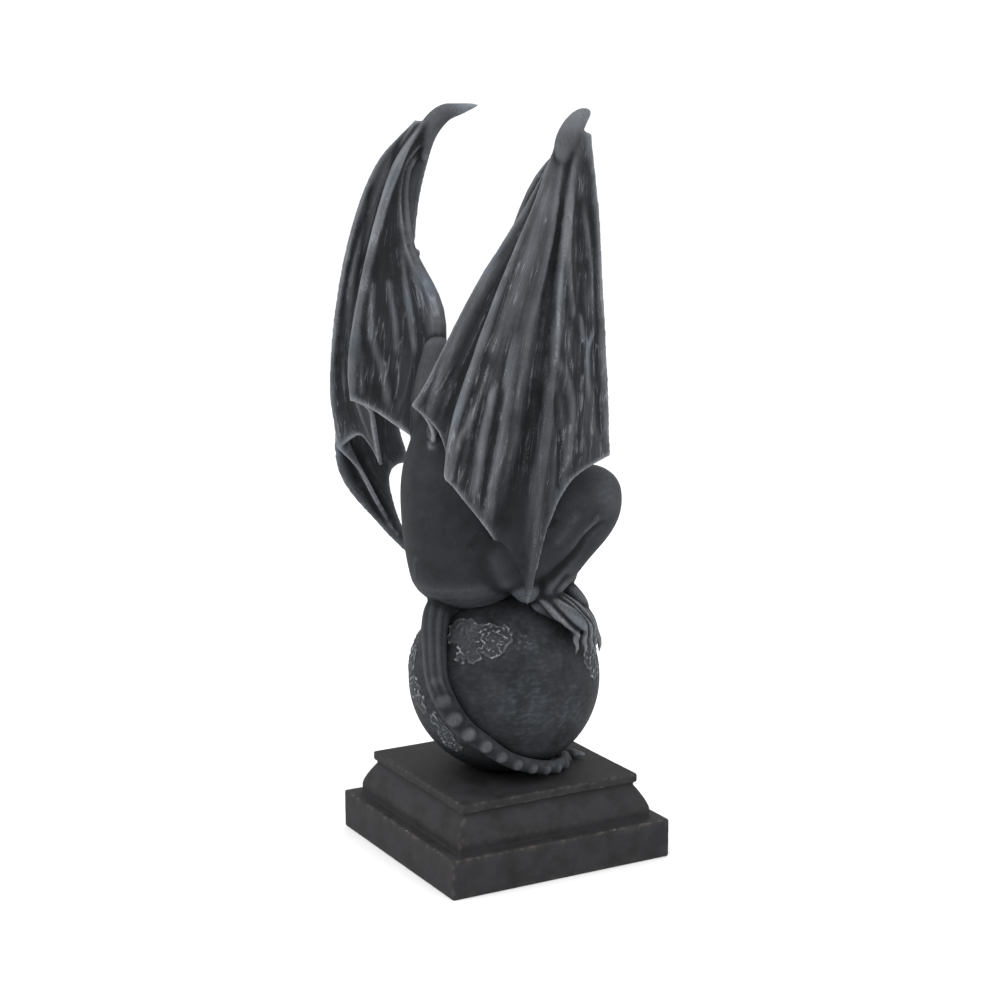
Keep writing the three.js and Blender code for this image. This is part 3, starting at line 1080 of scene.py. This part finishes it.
RIGHT_WING = Wing(
    side=Side.RIGHT,
    wrist=(-81, 1, 250),
    claw_tip=(-75, -9, 259),
    arm_shift=(3, -2, 0),
    ribs=(
        ((-77, -3, 250), (-70, 14, 230), (-54, 25, 186), (-28, 29, 149), (-13, 50, 86)),
        ((-78, 2, 256), (-67, 25, 212), (-53, 46, 170), (-36, 66, 121), (-29, 70, 110)),
        ((-79, 6, 256), (-76, 30, 201), (-73, 42, 169), (-58, 57, 110), (-44, 58, 72)),
        ((-83, 6, 256), (-87, 21, 190), (-84, 32, 144), (-66, 34, 81), (-47, 31, 36)),
        ((-85, 1, 256), (-90, 11, 205), (-91, 19, 133), (-72, 18, 58), (-51, 12, -1)),
        ((-85, -7, 254), (-86, -10, 219), (-86, -14, 157), (-82, -19, 118), (-74, -26, 82)),
    ),
    sags=((6, 4), (14, 9), (-2, -3), (7, 3), (3, 2)),
    cuts=((0, 0.06), (0.02, 0.06), (0.01, 0.02), (0.02, 0.04), (0.26, 0)),
    folds=(
        Fold(((1.9, 0.1), (1.75, 0.35), (1.72, 0.5), (1.7, 0.62), (1.66, 0.76), (1.66, 0.95)), 5.0, -4.0),
        Fold(((1.2, 0.35), (1.18, 0.56), (1.2, 0.7), (1.28, 1.0)), 3.0, 2.0),
        Fold(
            ((2.05, 0.14), (2.0, 0.23), (2.0, 0.42), (2.0, 0.57), (1.97, 0.72), (1.98, 0.85), (2.0, 1.0)),
            3.0,
            2.2,
        ),
        Fold(((2.6, 0.1), (2.55, 0.18), (2.46, 0.26), (2.4, 0.4), (2.31, 0.51), (2.16, 0.62)), 6.0, 1.6),
        Fold(((2.23, 0.7), (2.18, 0.76), (2.12, 0.82), (2.08, 0.92), (2.06, 1.0)), 2.0, 1.3),
        Fold(((2.38, 0.66), (2.35, 0.8), (2.35, 0.89), (2.33, 0.98)), 2.2, -1.5),
        Fold(((2.51, 0.62), (2.51, 0.74), (2.53, 0.8), (2.55, 0.87), (2.53, 0.96)), 2.0, 1.3),
        Fold(((2.68, 0.6), (2.68, 0.77), (2.7, 0.85), (2.73, 0.96)), 2.5, -1.6),
        Fold(((2.71, 0.48), (2.78, 0.6), (2.84, 0.68), (2.85, 0.76), (2.8, 0.86), (2.8, 0.95)), 2.5, 1.4),
        Fold(((3.42, 0.24), (3.53, 0.34), (3.58, 0.43), (3.5, 0.51), (3.39, 0.62)), 5.0, -1.8),
        Fold(((3.53, 0.55), (3.46, 0.63), (3.45, 0.69), (3.34, 0.76), (3.23, 0.85), (3.11, 0.96)), 6.0, -3.5),
        Fold(((3.89, 0.5), (3.93, 0.57), (3.96, 0.64), (3.88, 0.72), (3.85, 0.8), (3.83, 0.92)), 3.0, 2.0),
        Fold(((4.0, 0.52), (4.08, 0.61), (4.2, 0.73), (4.28, 0.84), (4.3, 0.95)), 2.2, -1.8),
        Fold(((3.94, 0.4), (3.98, 0.48), (4.23, 0.62), (4.4, 0.74), (4.42, 0.82), (4.4, 0.94)), 3.0, 1.5),
        Fold(((3.78, 0.12), (4.06, 0.28), (4.21, 0.41), (4.36, 0.52)), 2.2, 1.3),
        Fold(((4.31, 0.19), (4.45, 0.38), (4.56, 0.53)), 2.5, -1.0),
        Fold(
            ((4.5, 0.23), (4.74, 0.37), (4.8, 0.49), (4.8, 0.54), (4.67, 0.6), (4.66, 0.69), (4.73, 0.78)),
            1.4,
            0.9,
        ),
        Fold(((4.49, 0.5), (4.58, 0.57), (4.67, 0.6)), 1.3, 0.8),
        Fold(((4.9, 0.13), (4.96, 0.32), (4.96, 0.43), (4.94, 0.6), (4.95, 0.9)), 2.0, 0.8),
        Fold(((4.86, 0.38), (4.83, 0.61), (4.86, 0.9)), 2.0, -0.9),
    ),
)

LEFT_WING = Wing(
    side=Side.LEFT,
    wrist=(81, -2, 252),
    claw_tip=(65, -22, 268),
    arm_shift=(5, -2, 0),
    ribs=(
        ((80, 0, 252), (78, 20, 231), (61, 28, 190), (28, 27, 150), (13, 46, 83)),
        ((80, 6, 259), (76, 24, 237), (67, 45, 194), (46, 70, 132), (38, 75, 105)),
        ((82, 10, 259), (85, 24, 236), (88, 46, 170), (80, 54, 110), (68, 43, 61)),
        ((85, 8, 259), (91, 31, 234), (96, 50, 178), (99, 59, 103), (96, 57, 67)),
        ((86, 2, 257), (94, 18, 222), (102, 38, 140), (102, 55, 58), (96, 30, 19), (88, 6, -8)),
        ((85, -5, 255), (92, 4, 215), (99, 8, 150), (104, 15, 85), (102, 8, 54)),
    ),
    sags=((5, 3), (9, 6), (4, 4), (6, 5), (3, 0)),
    cuts=((0, 0.04), (0.03, 0.1), (0.12, 0.02), (0.02, 0.24), (0.42, 0, 1.3)),
    folds=(
        Fold(
            ((2.05, 0.1), (2.0, 0.3), (2.0, 0.4), (1.95, 0.5), (1.92, 0.6), (1.9, 0.7), (1.9, 0.82)),
            4.0,
            -5.0,
        ),
        Fold(
            ((1.2, 0.06), (1.05, 0.2), (1.0, 0.34), (1.0, 0.5), (1.0, 0.65), (1.0, 0.8), (1.0, 1.0)),
            2.6,
            2.0,
        ),
        Fold(((0.16, 0.5), (0.28, 0.64), (0.3, 0.73), (0.21, 0.83)), 1.7, 0.8),
        Fold(((0.6, 0.6), (0.51, 0.72), (0.45, 0.82)), 1.8, 0.8),
        Fold(((0.91, 0.58), (0.79, 0.74), (0.62, 0.86), (0.46, 0.97)), 2.5, 1.2),
        Fold(((0.12, 0.48), (0.08, 0.6), (0.11, 0.71), (0.03, 0.82)), 1.8, 0.7),
        Fold(((0.95, 0.7), (0.9, 0.85), (0.86, 0.97)), 1.8, 0.8),
        Fold(((2.43, 0.35), (2.58, 0.48), (2.61, 0.59), (2.6, 0.7), (2.55, 0.85)), 2.5, 1.2),
        Fold(((2.95, 0.25), (2.97, 0.5), (2.99, 0.64), (3.0, 0.85)), 2.5, 1.0),
        Fold(((2.8, 0.38), (2.82, 0.58), (2.82, 0.78)), 2.0, -1.0),
    ),
)


@dataclass(frozen=True)
class Line:
    """A small ridge or crease of the body.

    Attributes:
        points: Its points in millimetres from the globe's top, on the left side where it is paired.
        width: Its half width.
        height: How far it stands out, or below zero how deep it is cut.
        paired: Whether the other side has it too.
    """

    points: tuple[Point, ...]
    width: float
    height: float
    paired: bool = True


BODY_LINES = (
    Line(((65, -20, 62), (64, -28, 64), (64, -37, 66)), 1.3, 0.12),
    Line(((67, -22, 58), (66, -30, 61), (65, -35, 60)), 1.0, 0.16),
    Line(((67, -25, 54), (67, -29, 57), (65, -33, 57)), 0.9, 0.12),
    Line(((62, -23, 66), (62, -28, 68), (61, -36, 67)), 1.2, 0.1),
    Line(((67, -24, 49), (65, -20, 42), (63, -16, 38)), 1.4, 0.5),
    Line(((65, -30, 44), (64, -24, 41), (61, -18, 34), (54, -15, 26), (48, -8, 15), (41, -4, 8)), 2.2, -1.6),
    Line(((51, -15, 13), (48, -11, 7), (44, -8, 0)), 2.0, -0.8),
    Line(((58, 0, 30), (62, -6, 41), (65, -13, 51)), 3.0, 0.5),
    Line(((65, 9, 41), (60, -1, 47)), 2.0, -0.5),
    Line(((-8, 57, 22), (-2, 56, 18), (-1, 55, 13), (3, 54, 7)), 1.4, 0.3, paired=False),
    Line(((-34, 32, 37), (-32, 38, 29)), 2.5, -0.5, paired=False),
)


@dataclass(frozen=True)
class WingPlaces:
    """Where each of the figure's points is on the nearest wing.

    Attributes:
        turn: Which panel, and how far across it.
        down: How far from the wrist to the hem, from 0 to 1.
        gap: How far off the skin's middle, in millimetres.
        outer: Whether it is on the wing's outer face.
        widths: The panel's width there in millimetres.
        lengths: The wing's length there in millimetres.
        which: 0 for the right wing and 1 for the left one.
    """

    turn: np.ndarray
    down: np.ndarray
    gap: np.ndarray
    outer: np.ndarray
    widths: np.ndarray
    lengths: np.ndarray
    which: np.ndarray

    def winged(self) -> np.ndarray:
        """How surely each point is on a wing."""
        return 1 - smoothstep(2.2, 5.0, self.gap)

    def melted(self) -> np.ndarray:
        """Where the right wing's hem runs into the hip.

        Returns:
            One share for each point, from 0 to 1.
        """
        low = smoothstep(0.84, 0.96, self.down)
        made = low * smoothstep(3.0, 3.2, self.turn) * smoothstep(-3.98, -3.8, -self.turn)
        return made * (1 - smoothstep(7, 12, self.gap)) * (self.which == 0)

    def plain(self) -> np.ndarray:
        """Where the right wing's skin lies over the thigh and has little pale paint.

        Returns:
            One share for each point, from 0 to 1.
        """
        low = smoothstep(0.66, 0.88, self.down)
        made = low * smoothstep(2.85, 3.1, self.turn) * smoothstep(-4.1, -3.85, -self.turn)
        return made * ((self.which == 0) * self.winged())

    def rim(self) -> np.ndarray:
        """The darker strip along the right wing's last bone but one."""
        strip = np.exp(-(((self.turn - 3.95) / 0.4) ** 2)) * smoothstep(0.35, 0.6, self.down)
        return strip * (self.which == 0) * self.winged()


@dataclass
class Gargoyle:
    """The figure: body, head, limbs, tail and wings, cast in one.

    Attributes:
        wings: The two wings.
        voxel: The size of the first skin's faces in millimetres.
        triangles: The most triangles that the finished figure has.
        tail_stops: The tail's line over the globe, as degrees round, degrees up and lift.
        tail_radii: Its radii in millimetres.
        knobs: How many knobs run along it.
        fibres: How many fibres run down its root.
        toes: How many toes a foot has.
        fingers: How many fingers a hand has.
        foot: Degrees round, degrees up, lift, half width and half depth of the foot, heel first.
    """

    wings: tuple[Wing, Wing] = (RIGHT_WING, LEFT_WING)
    voxel: float = 0.8
    triangles: int = 196000
    tail_stops: tuple[Point, ...] = (
        (-185, 65, -3),
        (-178, 47, 5),
        (-171.5, 38, 5.5),
        (-164, 26.5, 5),
        (-157, 10, 5),
        (-149.5, -3, 5),
        (-141, -14.5, 4.6),
        (-131, -23, 4.2),
        (-117, -35, 4),
        (-102, -42.5, 3.8),
        (-77, -50, 3.8),
        (-52, -53, 3.8),
        (-32, -54.5, 4),
        (-14, -55, 6.5),
    )
    tail_radii: tuple[float, ...] = (10.4, 8.5, 7.2, 6.5, 6.2, 5.4, 4.6, 4.2, 3.8, 3.4, 3.0)
    knobs: int = 13
    fibres: int = 9
    toes: int = 5
    fingers: int = 4
    foot: tuple[tuple[float, ...], ...] = (
        (84, 62, 3, 7.5, 7.5),
        (75, 52, 6, 9.5, 7.5),
        (66, 42, 5.5, 11.5, 5.5),
        (57, 33, 4, 12, 4),
    )

    def torso(self) -> list[bpy.types.Object]:
        """The barrel of the body, the shoulders and the roots of the wings.

        Returns:
            Their objects.
        """
        parts = [
            Limb(
                [
                    at(0, 17, -12),
                    at(0, 20, 10),
                    at(0, 22.5, 36),
                    at(0, 22, 60),
                    at(0, 15, 88),
                    at(0, 2, 116),
                ],
                (32, 35.5, 37, 37, 31, 17),
                blunt=0.7,
                around=48,
                along=48,
            ),
            Limb([at(-38, 10, 94), at(0, 20, 104), at(38, 10, 94)], (14, 20, 14), width=(0, 0, 1)),
        ]
        for side in Side:
            parts.append(Limb(mirrored(side, ((10, 42, 76), (15, 36, 108), (24, 27, 140))), (9, 11, 7)))
        return [part.build() for part in parts]

    def head(self) -> list[bpy.types.Object]:
        """A beast's head of no particular kind: brow, muzzle, jaw, horns and ears.

        Returns:
            The objects of its parts.
        """
        parts = [
            Limb([at(0, 6, 100), at(0, -14, 114), at(0, -28, 119)], (19, 15, 13)),
            Limb([at(0, -12, 122), at(0, -45, 119)], (13, 15.5, 10)),
            Limb([at(0, -34, 117), at(0, -48, 113), at(0, -60, 108)], (11, 9.5, 7), depth=(0.8,)),
            Limb([at(0, -28, 106), at(0, -44, 102), at(0, -55, 100)], (10, 8, 5), depth=(0.6,)),
        ]
        for side in Side:
            ear = mirrored(side, ((11, -25, 118), (22, -17, 123), (31, -6, 128)))
            parts += [
                Limb(mirrored(side, ((0, -45, 124), (13, -39, 124))), (4.5, 3.5)),
                Limb(mirrored(side, ((7, -28, 126), (14, -22, 140), (16, -6, 147))), (5, 3.6, 0.6)),
                Limb(ear, (4, 6, 0.8), depth=(0.45,)),
            ]
        return [part.build() for part in parts]

    def leg(self, side: Side) -> list[bpy.types.Object]:
        """A drawn-up leg with its foot and clawed toes on the globe.

        Args:
            side: Which side of the figure.

        Returns:
            The objects of its parts.
        """
        s = side.value
        thigh = mirrored(side, ((8, 22, 16), (27, 10, 23), (45, -16, 47), (56, -43, 64)))
        shin = mirrored(side, ((51, -30, 70), (52, -33, 50), (45, -19, 24), (35, -6, -6)))
        parts = [
            Limb(thigh, (22, 22, 21, 15.5), around=32),
            Limb(shin, (12, 13, 10.5, 5.5)),
            Limb(mirrored(side, ((30, 14, 18), (35, 6, 6), (32, -2, -3))), (11, 9, 7)),
            Limb(
                [on_globe(s * turn, rise, lift) for turn, rise, lift, _, _ in self.foot],
                [wide for _, _, _, wide, _ in self.foot],
                depth=[deep / wide for _, _, _, wide, deep in self.foot],
            ),
        ]
        radii = (0.9, 1.5, 1.8, 2.6, 2.4, 2.2, 1.5, 0.3)
        for toe in range(self.toes):
            parts.append(Limb(self.tendon(side, toe), radii, around=14, along=48))
        return [part.build() for part in parts]

    def tendon(self, side: Side, toe: int) -> list[np.ndarray]:
        """The line of a toe, from the ankle over the foot's top to the claw's tip.

        Args:
            side: Which foot.
            toe: Which toe, counted from the outside.

        Returns:
            Points in metres.
        """
        across = 1 - 2 * toe / (self.toes - 1)
        line = []
        for turn, rise, lift, wide, deep in self.foot:
            ring = (GLOBE_RADIUS / MM + lift) * math.cos(math.radians(rise))
            off = math.degrees(0.82 * across * wide / ring)
            top = lift + deep * math.sqrt(1 - (0.82 * across) ** 2)
            line.append(on_globe(side.value * (turn + off), rise, top))
        tip = 24 - 3 * math.cos(math.pi / 2 * across)
        turn = side.value * (55 + 14.5 * across)
        return line + [on_globe(turn, tip + 5, 4.2), on_globe(turn, tip + 2, 4), on_globe(turn, tip - 2, 0.6)]

    def arm(self, side: Side) -> list[bpy.types.Object]:
        """An arm that comes down between the knees, with its hand on the globe.

        Args:
            side: Which side of the figure.

        Returns:
            The objects of its parts.
        """
        s = side.value
        palm = [on_globe(s * 19, 60, 9), on_globe(s * 20, 48, 5), on_globe(s * 21, 36, 2.5)]
        parts = [
            Limb(mirrored(side, ((31, 8, 96), (34, -12, 74), (26, -26, 50))), (13, 11, 8.5)),
            Limb(mirrored(side, ((26, -24, 54), (22, -33, 28), (13, -34, -4))), (9, 8.5, 5.5)),
            Limb(palm, (6, 8, 8), depth=(0.6,)),
        ]
        for finger in range(self.fingers):
            turn = s * (10 + 8 * finger)
            bone = [
                on_globe(s * 20, 46, 3.5),
                on_globe(turn, 35, 3.5),
                on_globe(turn, 25, 2.2),
                on_globe(turn, 20, 2.6),
                on_globe(turn, 15, 0.4),
            ]
            parts.append(Limb(bone, (2.6, 3, 2.9, 1.9, 0.4), around=14))
        return [part.build() for part in parts]

    def tail_line(self) -> list[np.ndarray]:
        """The tail's line over the globe, as points in metres."""
        return [on_globe(*stop) for stop in self.tail_stops]

    def tail(self) -> list[bpy.types.Object]:
        """The tail down the globe's back and round its right side, with its knobs and barb.

        Returns:
            The objects of its parts.
        """
        path = Path(self.tail_line())
        pieces = [Limb(self.tail_line(), self.tail_radii, around=28, along=120).build()]
        shares = np.linspace(0.27, 0.93, self.knobs)
        centres, ahead = path.evenly(shares)
        radii = spread(self.tail_radii, shares) * (0.7 + 0.3 * smoothstep(0.25, 0.45, shares))
        for centre, way, radius in zip(centres, ahead, radii):
            out = centre - GLOBE_CENTRE
            out /= np.linalg.norm(out)
            facing = out * 0.8 + np.cross(out, way) * 0.45
            facing /= np.linalg.norm(facing)
            root = centre + facing * radius * 0.1 * MM
            top = centre + facing * radius * 1.46 * MM
            pieces.append(Limb([root, top], (radius * 0.9, radius * 0.72), around=16, along=16).build())
        tip = path.at(np.array([1.0]))[0]
        tip[2] = PLINTH_TOP + 2.5 * MM
        for x, y in ((-10, -9), (12, 0)):
            end = tip + np.array([x, y, 0]) * MM
            barb = Limb([tip * 1.4 - end * 0.4, tip, end], (3, 4, 1), depth=(0.7,), around=14, along=14)
            pieces.append(barb.build())
        return pieces

    def build(self) -> bpy.types.Object:
        """Builds every part of the figure and makes one skin of them.

        Returns:
            The figure's object.
        """
        deselect()
        pieces = [*self.torso(), *self.head(), *self.tail()]
        for side in Side:
            pieces += [*self.leg(side), *self.arm(side)]
        for wing in self.wings:
            pieces += wing.build()
        figure = joined(pieces, "gargoyle_cast")
        remeshed(figure, self.voxel)
        return figure

    def finish(self, figure: bpy.types.Object) -> None:
        """Smooths the skin, carves it, paints it, and dresses the figure.

        Args:
            figure: The figure's object.
        """
        clay = Clay(figure)
        places = self.on_wings(clay.points)
        tail = self.carve(clay, places)
        self.paint(clay, places, tail)
        clay.write()
        thinned(figure, self.triangles)
        dress(figure, FIGURE_RESIN, "gargoyle")

    def carve(self, clay: Clay, places: WingPlaces) -> np.ndarray:
        """Smooths the skin where forms run into each other, and carves the small forms.

        Args:
            clay: The figure.
            places: Its points' places on the wings.

        Returns:
            How surely each point is on the tail.
        """
        clay.points = clay.softened(clay.points, 3, 0.4)
        clay.iron(18)
        clay.smooth(40, 0.6 * self.trunk(clay.points) * (1 - places.winged()))
        clay.smooth(60, 0.6 * places.melted())
        for wing in self.wings:
            clay.smooth(20, 0.6 * clay.nearness(at(*wing.wrist), 9))
        tail = 1 - smoothstep(1.5, 4, self.off_tail(clay.points))
        clay.smooth(6, 0.5 * tail)
        clay.facing = clay.normals()
        self.carve_body(clay)
        self.carve_wings(clay, places)
        self.clear(clay)
        return tail

    def paint(self, clay: Clay, places: WingPlaces, tail: np.ndarray) -> None:
        """Works out where the paint is worn, tinted and veined, and where shade is painted into the hollows
        and low on the tail.

        Args:
            clay: The figure.
            places: Its points' places on the wings.
            tail: How surely each point is on the tail.
        """
        winged, plain = places.winged(), places.plain()
        fine, broad, forms = clay.softened(clay.relief(4), 2), clay.relief(30), clay.relief(120)
        stands = np.clip(fine * 3.0, -1, 1) + np.clip(broad * 0.34, -0.6, 0.5)
        stands += np.clip(forms * 0.1, -0.4, 0.3)
        patchy = 0.85 + 0.35 * noise_at(clay.points, 15, 2.0)
        hem = np.exp(-(((1 - places.down) * places.lengths / 1.6) ** 2)) * winged * (1 - places.melted())
        rubbed = sum(amount * clay.nearness(place, size) for place, size, amount in self.rubs())
        held = (1 - 0.6 * places.rim()) * (1 - 0.62 * tail) * (1 - 0.8 * plain)
        held *= 1 - 0.45 * self.trunk(clay.points) * (1 - winged)
        worn = (0.1 * winged - 0.02 + rubbed + 0.62 * stands) * patchy * held
        worn = np.clip(worn + 0.25 * hem * (1 - plain), 0, 0.85)
        # Painted shadow on the tail low down round the globe, and painted shade in the hollows.
        under = 0.55 * tail * (1 - smoothstep(62 * MM, 100 * MM, clay.points[:, 2]))
        painted_shade = np.clip(under - stands * (1.1 - 0.4 * winged) - 0.03, 0, 0.9)
        tinted = 0.3 * smoothstep(0.2, 0.6, noise_at(clay.points, 26, 5.0))
        veined = winged * (1 - plain) * np.clip(places.widths / 14, 0, 1)
        body_flow = clay.points * np.array([1, 1, 0.35]) / (0.9 * MM)
        wing_flow = np.stack([places.turn * 58, places.down * 15, places.which * 50], 1)
        clay.keep("worn", clay.softened(worn, 1))
        clay.keep("painted_shade", clay.softened(painted_shade, 2))
        clay.keep("patch", tinted * np.clip(worn * 3, 0, 1))
        clay.keep("vein", veined * np.where(places.outer, 1.0, 0.4))
        clay.keep("flow", np.where((winged > 0.5)[:, None], wing_flow, body_flow))

    def trunk(self, points: np.ndarray) -> np.ndarray:
        """How surely each point is on the body or a thigh, whose forms run into each other."""
        height = (points[:, 2] - FIGURE_FOOT[2]) / MM
        return smoothstep(3, 12, height) * (1 - smoothstep(92, 104, height))

    def off_tail(self, points: np.ndarray) -> np.ndarray:
        """How far each point is off the tail's skin, in millimetres.

        Args:
            points: The points in metres.

        Returns:
            One distance for each point.
        """
        shares = np.linspace(0.12, 1, 60)
        line = Path(self.tail_line()).evenly(shares)[0]
        radii = spread(self.tail_radii, shares)
        return np.min([np.linalg.norm(points - p, axis=1) / MM - r for p, r in zip(line, radii)], axis=0)

    def rubs(self) -> list[tuple[np.ndarray, float, float]]:
        """Where the pale paint is heavier: its middle, its size in millimetres and its amount.

        Returns:
            One row for each place, with its middle in metres.
        """
        places = [(at(*wing.claw_tip), 13, 0.3) for wing in self.wings]
        for side in Side:
            places += [(p, 15, 0.1) for p in mirrored(side, ((66, -32, 56),))]
            places += [(self.tendon(side, toe)[i], 7, 0.01) for toe in range(self.toes) for i in (3, 5)]
        return places

    def carve_body(self, clay: Clay) -> None:
        """Cuts the creases of the legs and the back, the feet's tendons and the tail's fibres.

        Args:
            clay: The figure.
        """
        for line in BODY_LINES:
            for side in Side if line.paired else (Side.LEFT,):
                clay.stroke(mirrored(side, line.points), line.width, line.height)
        for side in Side:
            for toe in range(self.toes):
                line = self.tendon(side, toe)
                clay.stroke(line[1:5], 0.8, 0.5)
                if toe:
                    between = [(a + b) / 2 for a, b in zip(line[1:5], self.tendon(side, toe - 1)[1:5])]
                    clay.stroke(between, 0.9, -1.0)
        centres, ahead = Path(self.tail_line()).evenly(np.linspace(0.02, 0.4, 9))
        out = centres - GLOBE_CENTRE
        out /= np.linalg.norm(out, axis=1)[:, None]
        low = np.cross(out, ahead)
        for fibre in range(self.fibres):
            lean = math.radians(-80 + 20 * fibre)
            line = centres + (out * math.cos(lean) + low * math.sin(lean)) * 8 * MM
            clay.stroke(line, 0.7, 0.4 if fibre % 2 else -0.4)

    def on_wings(self, points: np.ndarray) -> WingPlaces:
        """Finds each point's place on the nearest wing.

        Args:
            points: The points in metres.

        Returns:
            Their places on the wings.
        """
        rows = []
        for index, wing in enumerate(self.wings):
            shares = np.meshgrid(np.linspace(0, wing.panels, 126), np.linspace(0, 1, 121))
            turn, down = np.stack(shares, -1).reshape(-1, 2).T
            place = wing.surface(turn, down)
            wide, long, inward = wing.frame(turn, down)
            rows.append(np.column_stack([place, turn, down, wide, long, inward, np.full(len(turn), index)]))
        table = np.vstack(rows)
        tree = kdtree.KDTree(len(table))
        for i, place in enumerate(table[:, :3].tolist()):
            tree.insert(place, i)
        tree.balance()
        nearest = np.fromiter((tree.find(p)[1] for p in points.tolist()), int, len(points))
        found = table[nearest]
        off = points - found[:, :3]
        wide, long, inward = found[:, 5:8], found[:, 8:11], found[:, 11:14]
        size_wide = (wide**2).sum(1)
        size_long = (long**2).sum(1)
        return WingPlaces(
            turn=np.clip(found[:, 3] + (off * wide).sum(1) / size_wide, 0, self.wings[0].panels),
            down=np.clip(found[:, 4] + (off * long).sum(1) / size_long, 0, 1),
            gap=np.linalg.norm(off, axis=1) / MM,
            outer=(off * inward).sum(1) < 0,
            widths=np.sqrt(size_wide) / MM,
            lengths=np.sqrt(size_long) / MM,
            which=found[:, 14],
        )

    def carve_wings(self, clay: Clay, places: WingPlaces) -> None:
        """Raises the veins and the small folds of the skin.

        Args:
            clay: The figure.
            places: Its points' places on the wings.
        """
        turn, down, which = places.turn, places.down, places.which
        lines = lumps(np.stack([turn * 4.4, down * 1.5, which * 9], 1))
        threads = lumps(np.stack([turn * 11, down * 2.0, which * 9 + 4], 1))
        broken = smoothstep(-0.25, 0.35, noise_at(clay.points, 17, 3.0))
        reach = np.clip(places.widths / 14, 0, 1) * smoothstep(0.03, 0.15, down)
        veins = 0.2 * np.exp(-((lines / 0.035) ** 2)) * broken
        veins += 0.14 * np.exp(-((threads / 0.08) ** 2)) * (1 - 0.5 * broken)
        folds = 0.25 * lines * np.clip(places.widths / 25, 0, 1)
        face = np.where(places.outer, 1.0, 0.35)
        clay.push((veins + folds) * reach * places.winged() * face)

    def clear(self, clay: Clay) -> None:
        """Keeps the figure clear of the globe and the plinth, and in its own box.

        Args:
            clay: The figure.
        """
        way = clay.points - GLOBE_CENTRE
        reach = np.linalg.norm(way, axis=1)
        least = GLOBE_RADIUS + 0.05 * MM
        inside = reach < least
        clay.points[inside] = GLOBE_CENTRE + way[inside] / reach[inside, None] * least
        clay.hold("gargoyle")


def dress(obj: bpy.types.Object, finish: CastResin, node: str) -> None:
    """Gives a piece its finish and hangs it on the frame.

    Args:
        obj: The piece.
        finish: Its finish.
        node: The frame's node that it stands for.
    """
    low, high = (np.array(corner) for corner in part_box(node))
    room = 0.02 * MM
    set_points(obj, np.clip(get_points(obj), low + (room, room, 0), high - room))
    obj.data.materials.clear()
    obj.data.materials.append(finish.material())
    take(obj)
    bpy.ops.object.shade_smooth()
    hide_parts(node)
    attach(obj, "root")
    log.info("%s: %d faces", obj.name, len(obj.data.polygons))


@dataclass
class Studio:
    """A pale floor, soft light from all round, and the camera.

    Attributes:
        target: What the camera looks at, in metres.
        distance: How far it stands off, in metres.
        azimuth: Degrees from -X towards +Y.
        elevation: Degrees above level.
        roll: Degrees that it is tipped.
        lens: Its focal length in millimetres.
    """

    target: Point = (0.00189, 0.0, 0.20349)
    distance: float = 1.2
    azimuth: float = 28.88
    elevation: float = 11.0
    roll: float = -0.31
    lens: float = 75.73

    def build(self) -> None:
        """Sets up the floor, the lights and the camera."""
        scene = bpy.context.scene
        scene.view_settings.view_transform = "Standard"
        world = bpy.data.worlds.new("studio")
        world.use_nodes = True
        world.node_tree.nodes["Background"].inputs["Color"].default_value = (1, 1, 1, 1)
        world.node_tree.nodes["Background"].inputs["Strength"].default_value = 1.15
        scene.world = world
        deselect()
        bpy.ops.mesh.primitive_plane_add(size=12)
        floor = bpy.context.active_object
        floor.name = floor.data.name = "floor"
        paper = bpy.data.materials.new("white_paper")
        paper.use_nodes = True
        paper.node_tree.nodes["Principled BSDF"].inputs["Base Color"].default_value = (0.9, 0.9, 0.9, 1)
        paper.node_tree.nodes["Principled BSDF"].inputs["Roughness"].default_value = 1.0
        floor.data.materials.append(paper)
        self.lamp("overhead", (-0.3, 0.2, 1.9), 1.8, 12)
        self.lamp("beside", (-1.4, -0.6, 0.9), 1.2, 7)
        self.lamp("behind", (0.1, 1.7, 1.1), 1.2, 12)
        self.camera()

    def lamp(self, name: str, place: Point, size: float, power: float) -> None:
        """Adds a soft square lamp that looks at the figure.

        Args:
            name: The lamp's name.
            place: Where it stands.
            size: Its side in metres.
            power: Its power in watts.
        """
        data = bpy.data.lights.new(name, "AREA")
        data.size, data.energy = size, power
        lamp = bpy.data.objects.new(name, data)
        bpy.context.scene.collection.objects.link(lamp)
        lamp.location = place
        lamp.rotation_euler = (Vector(self.target) - Vector(place)).to_track_quat("-Z", "Y").to_euler()

    def camera(self) -> None:
        """Adds the camera."""
        data = bpy.data.cameras.new("camera")
        data.sensor_fit = "HORIZONTAL"
        data.sensor_width, data.lens = 36.0, self.lens
        data.clip_end = 20.0
        camera = bpy.data.objects.new("camera", data)
        bpy.context.scene.collection.objects.link(camera)
        a, e = math.radians(self.azimuth), math.radians(self.elevation)
        way = Vector((-math.cos(e) * math.cos(a), math.cos(e) * math.sin(a), math.sin(e)))
        turn = (-way).to_track_quat("-Z", "Y").to_matrix().to_4x4()
        place = Matrix.Translation(Vector(self.target) + way * self.distance)
        camera.matrix_world = place @ turn @ Matrix.Rotation(math.radians(self.roll), 4, "Z")
        bpy.context.scene.camera = camera


def main() -> None:
    """Builds the figurine round its frame, piece by piece, and the studio."""
    logging.basicConfig(level=logging.INFO, format="%(name)s: %(message)s")
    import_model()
    Studio().build()
    for piece in (Plinth(), Globe(), Gargoyle()):
        piece.finish(piece.build())


if __name__ == "__main__":
    main()
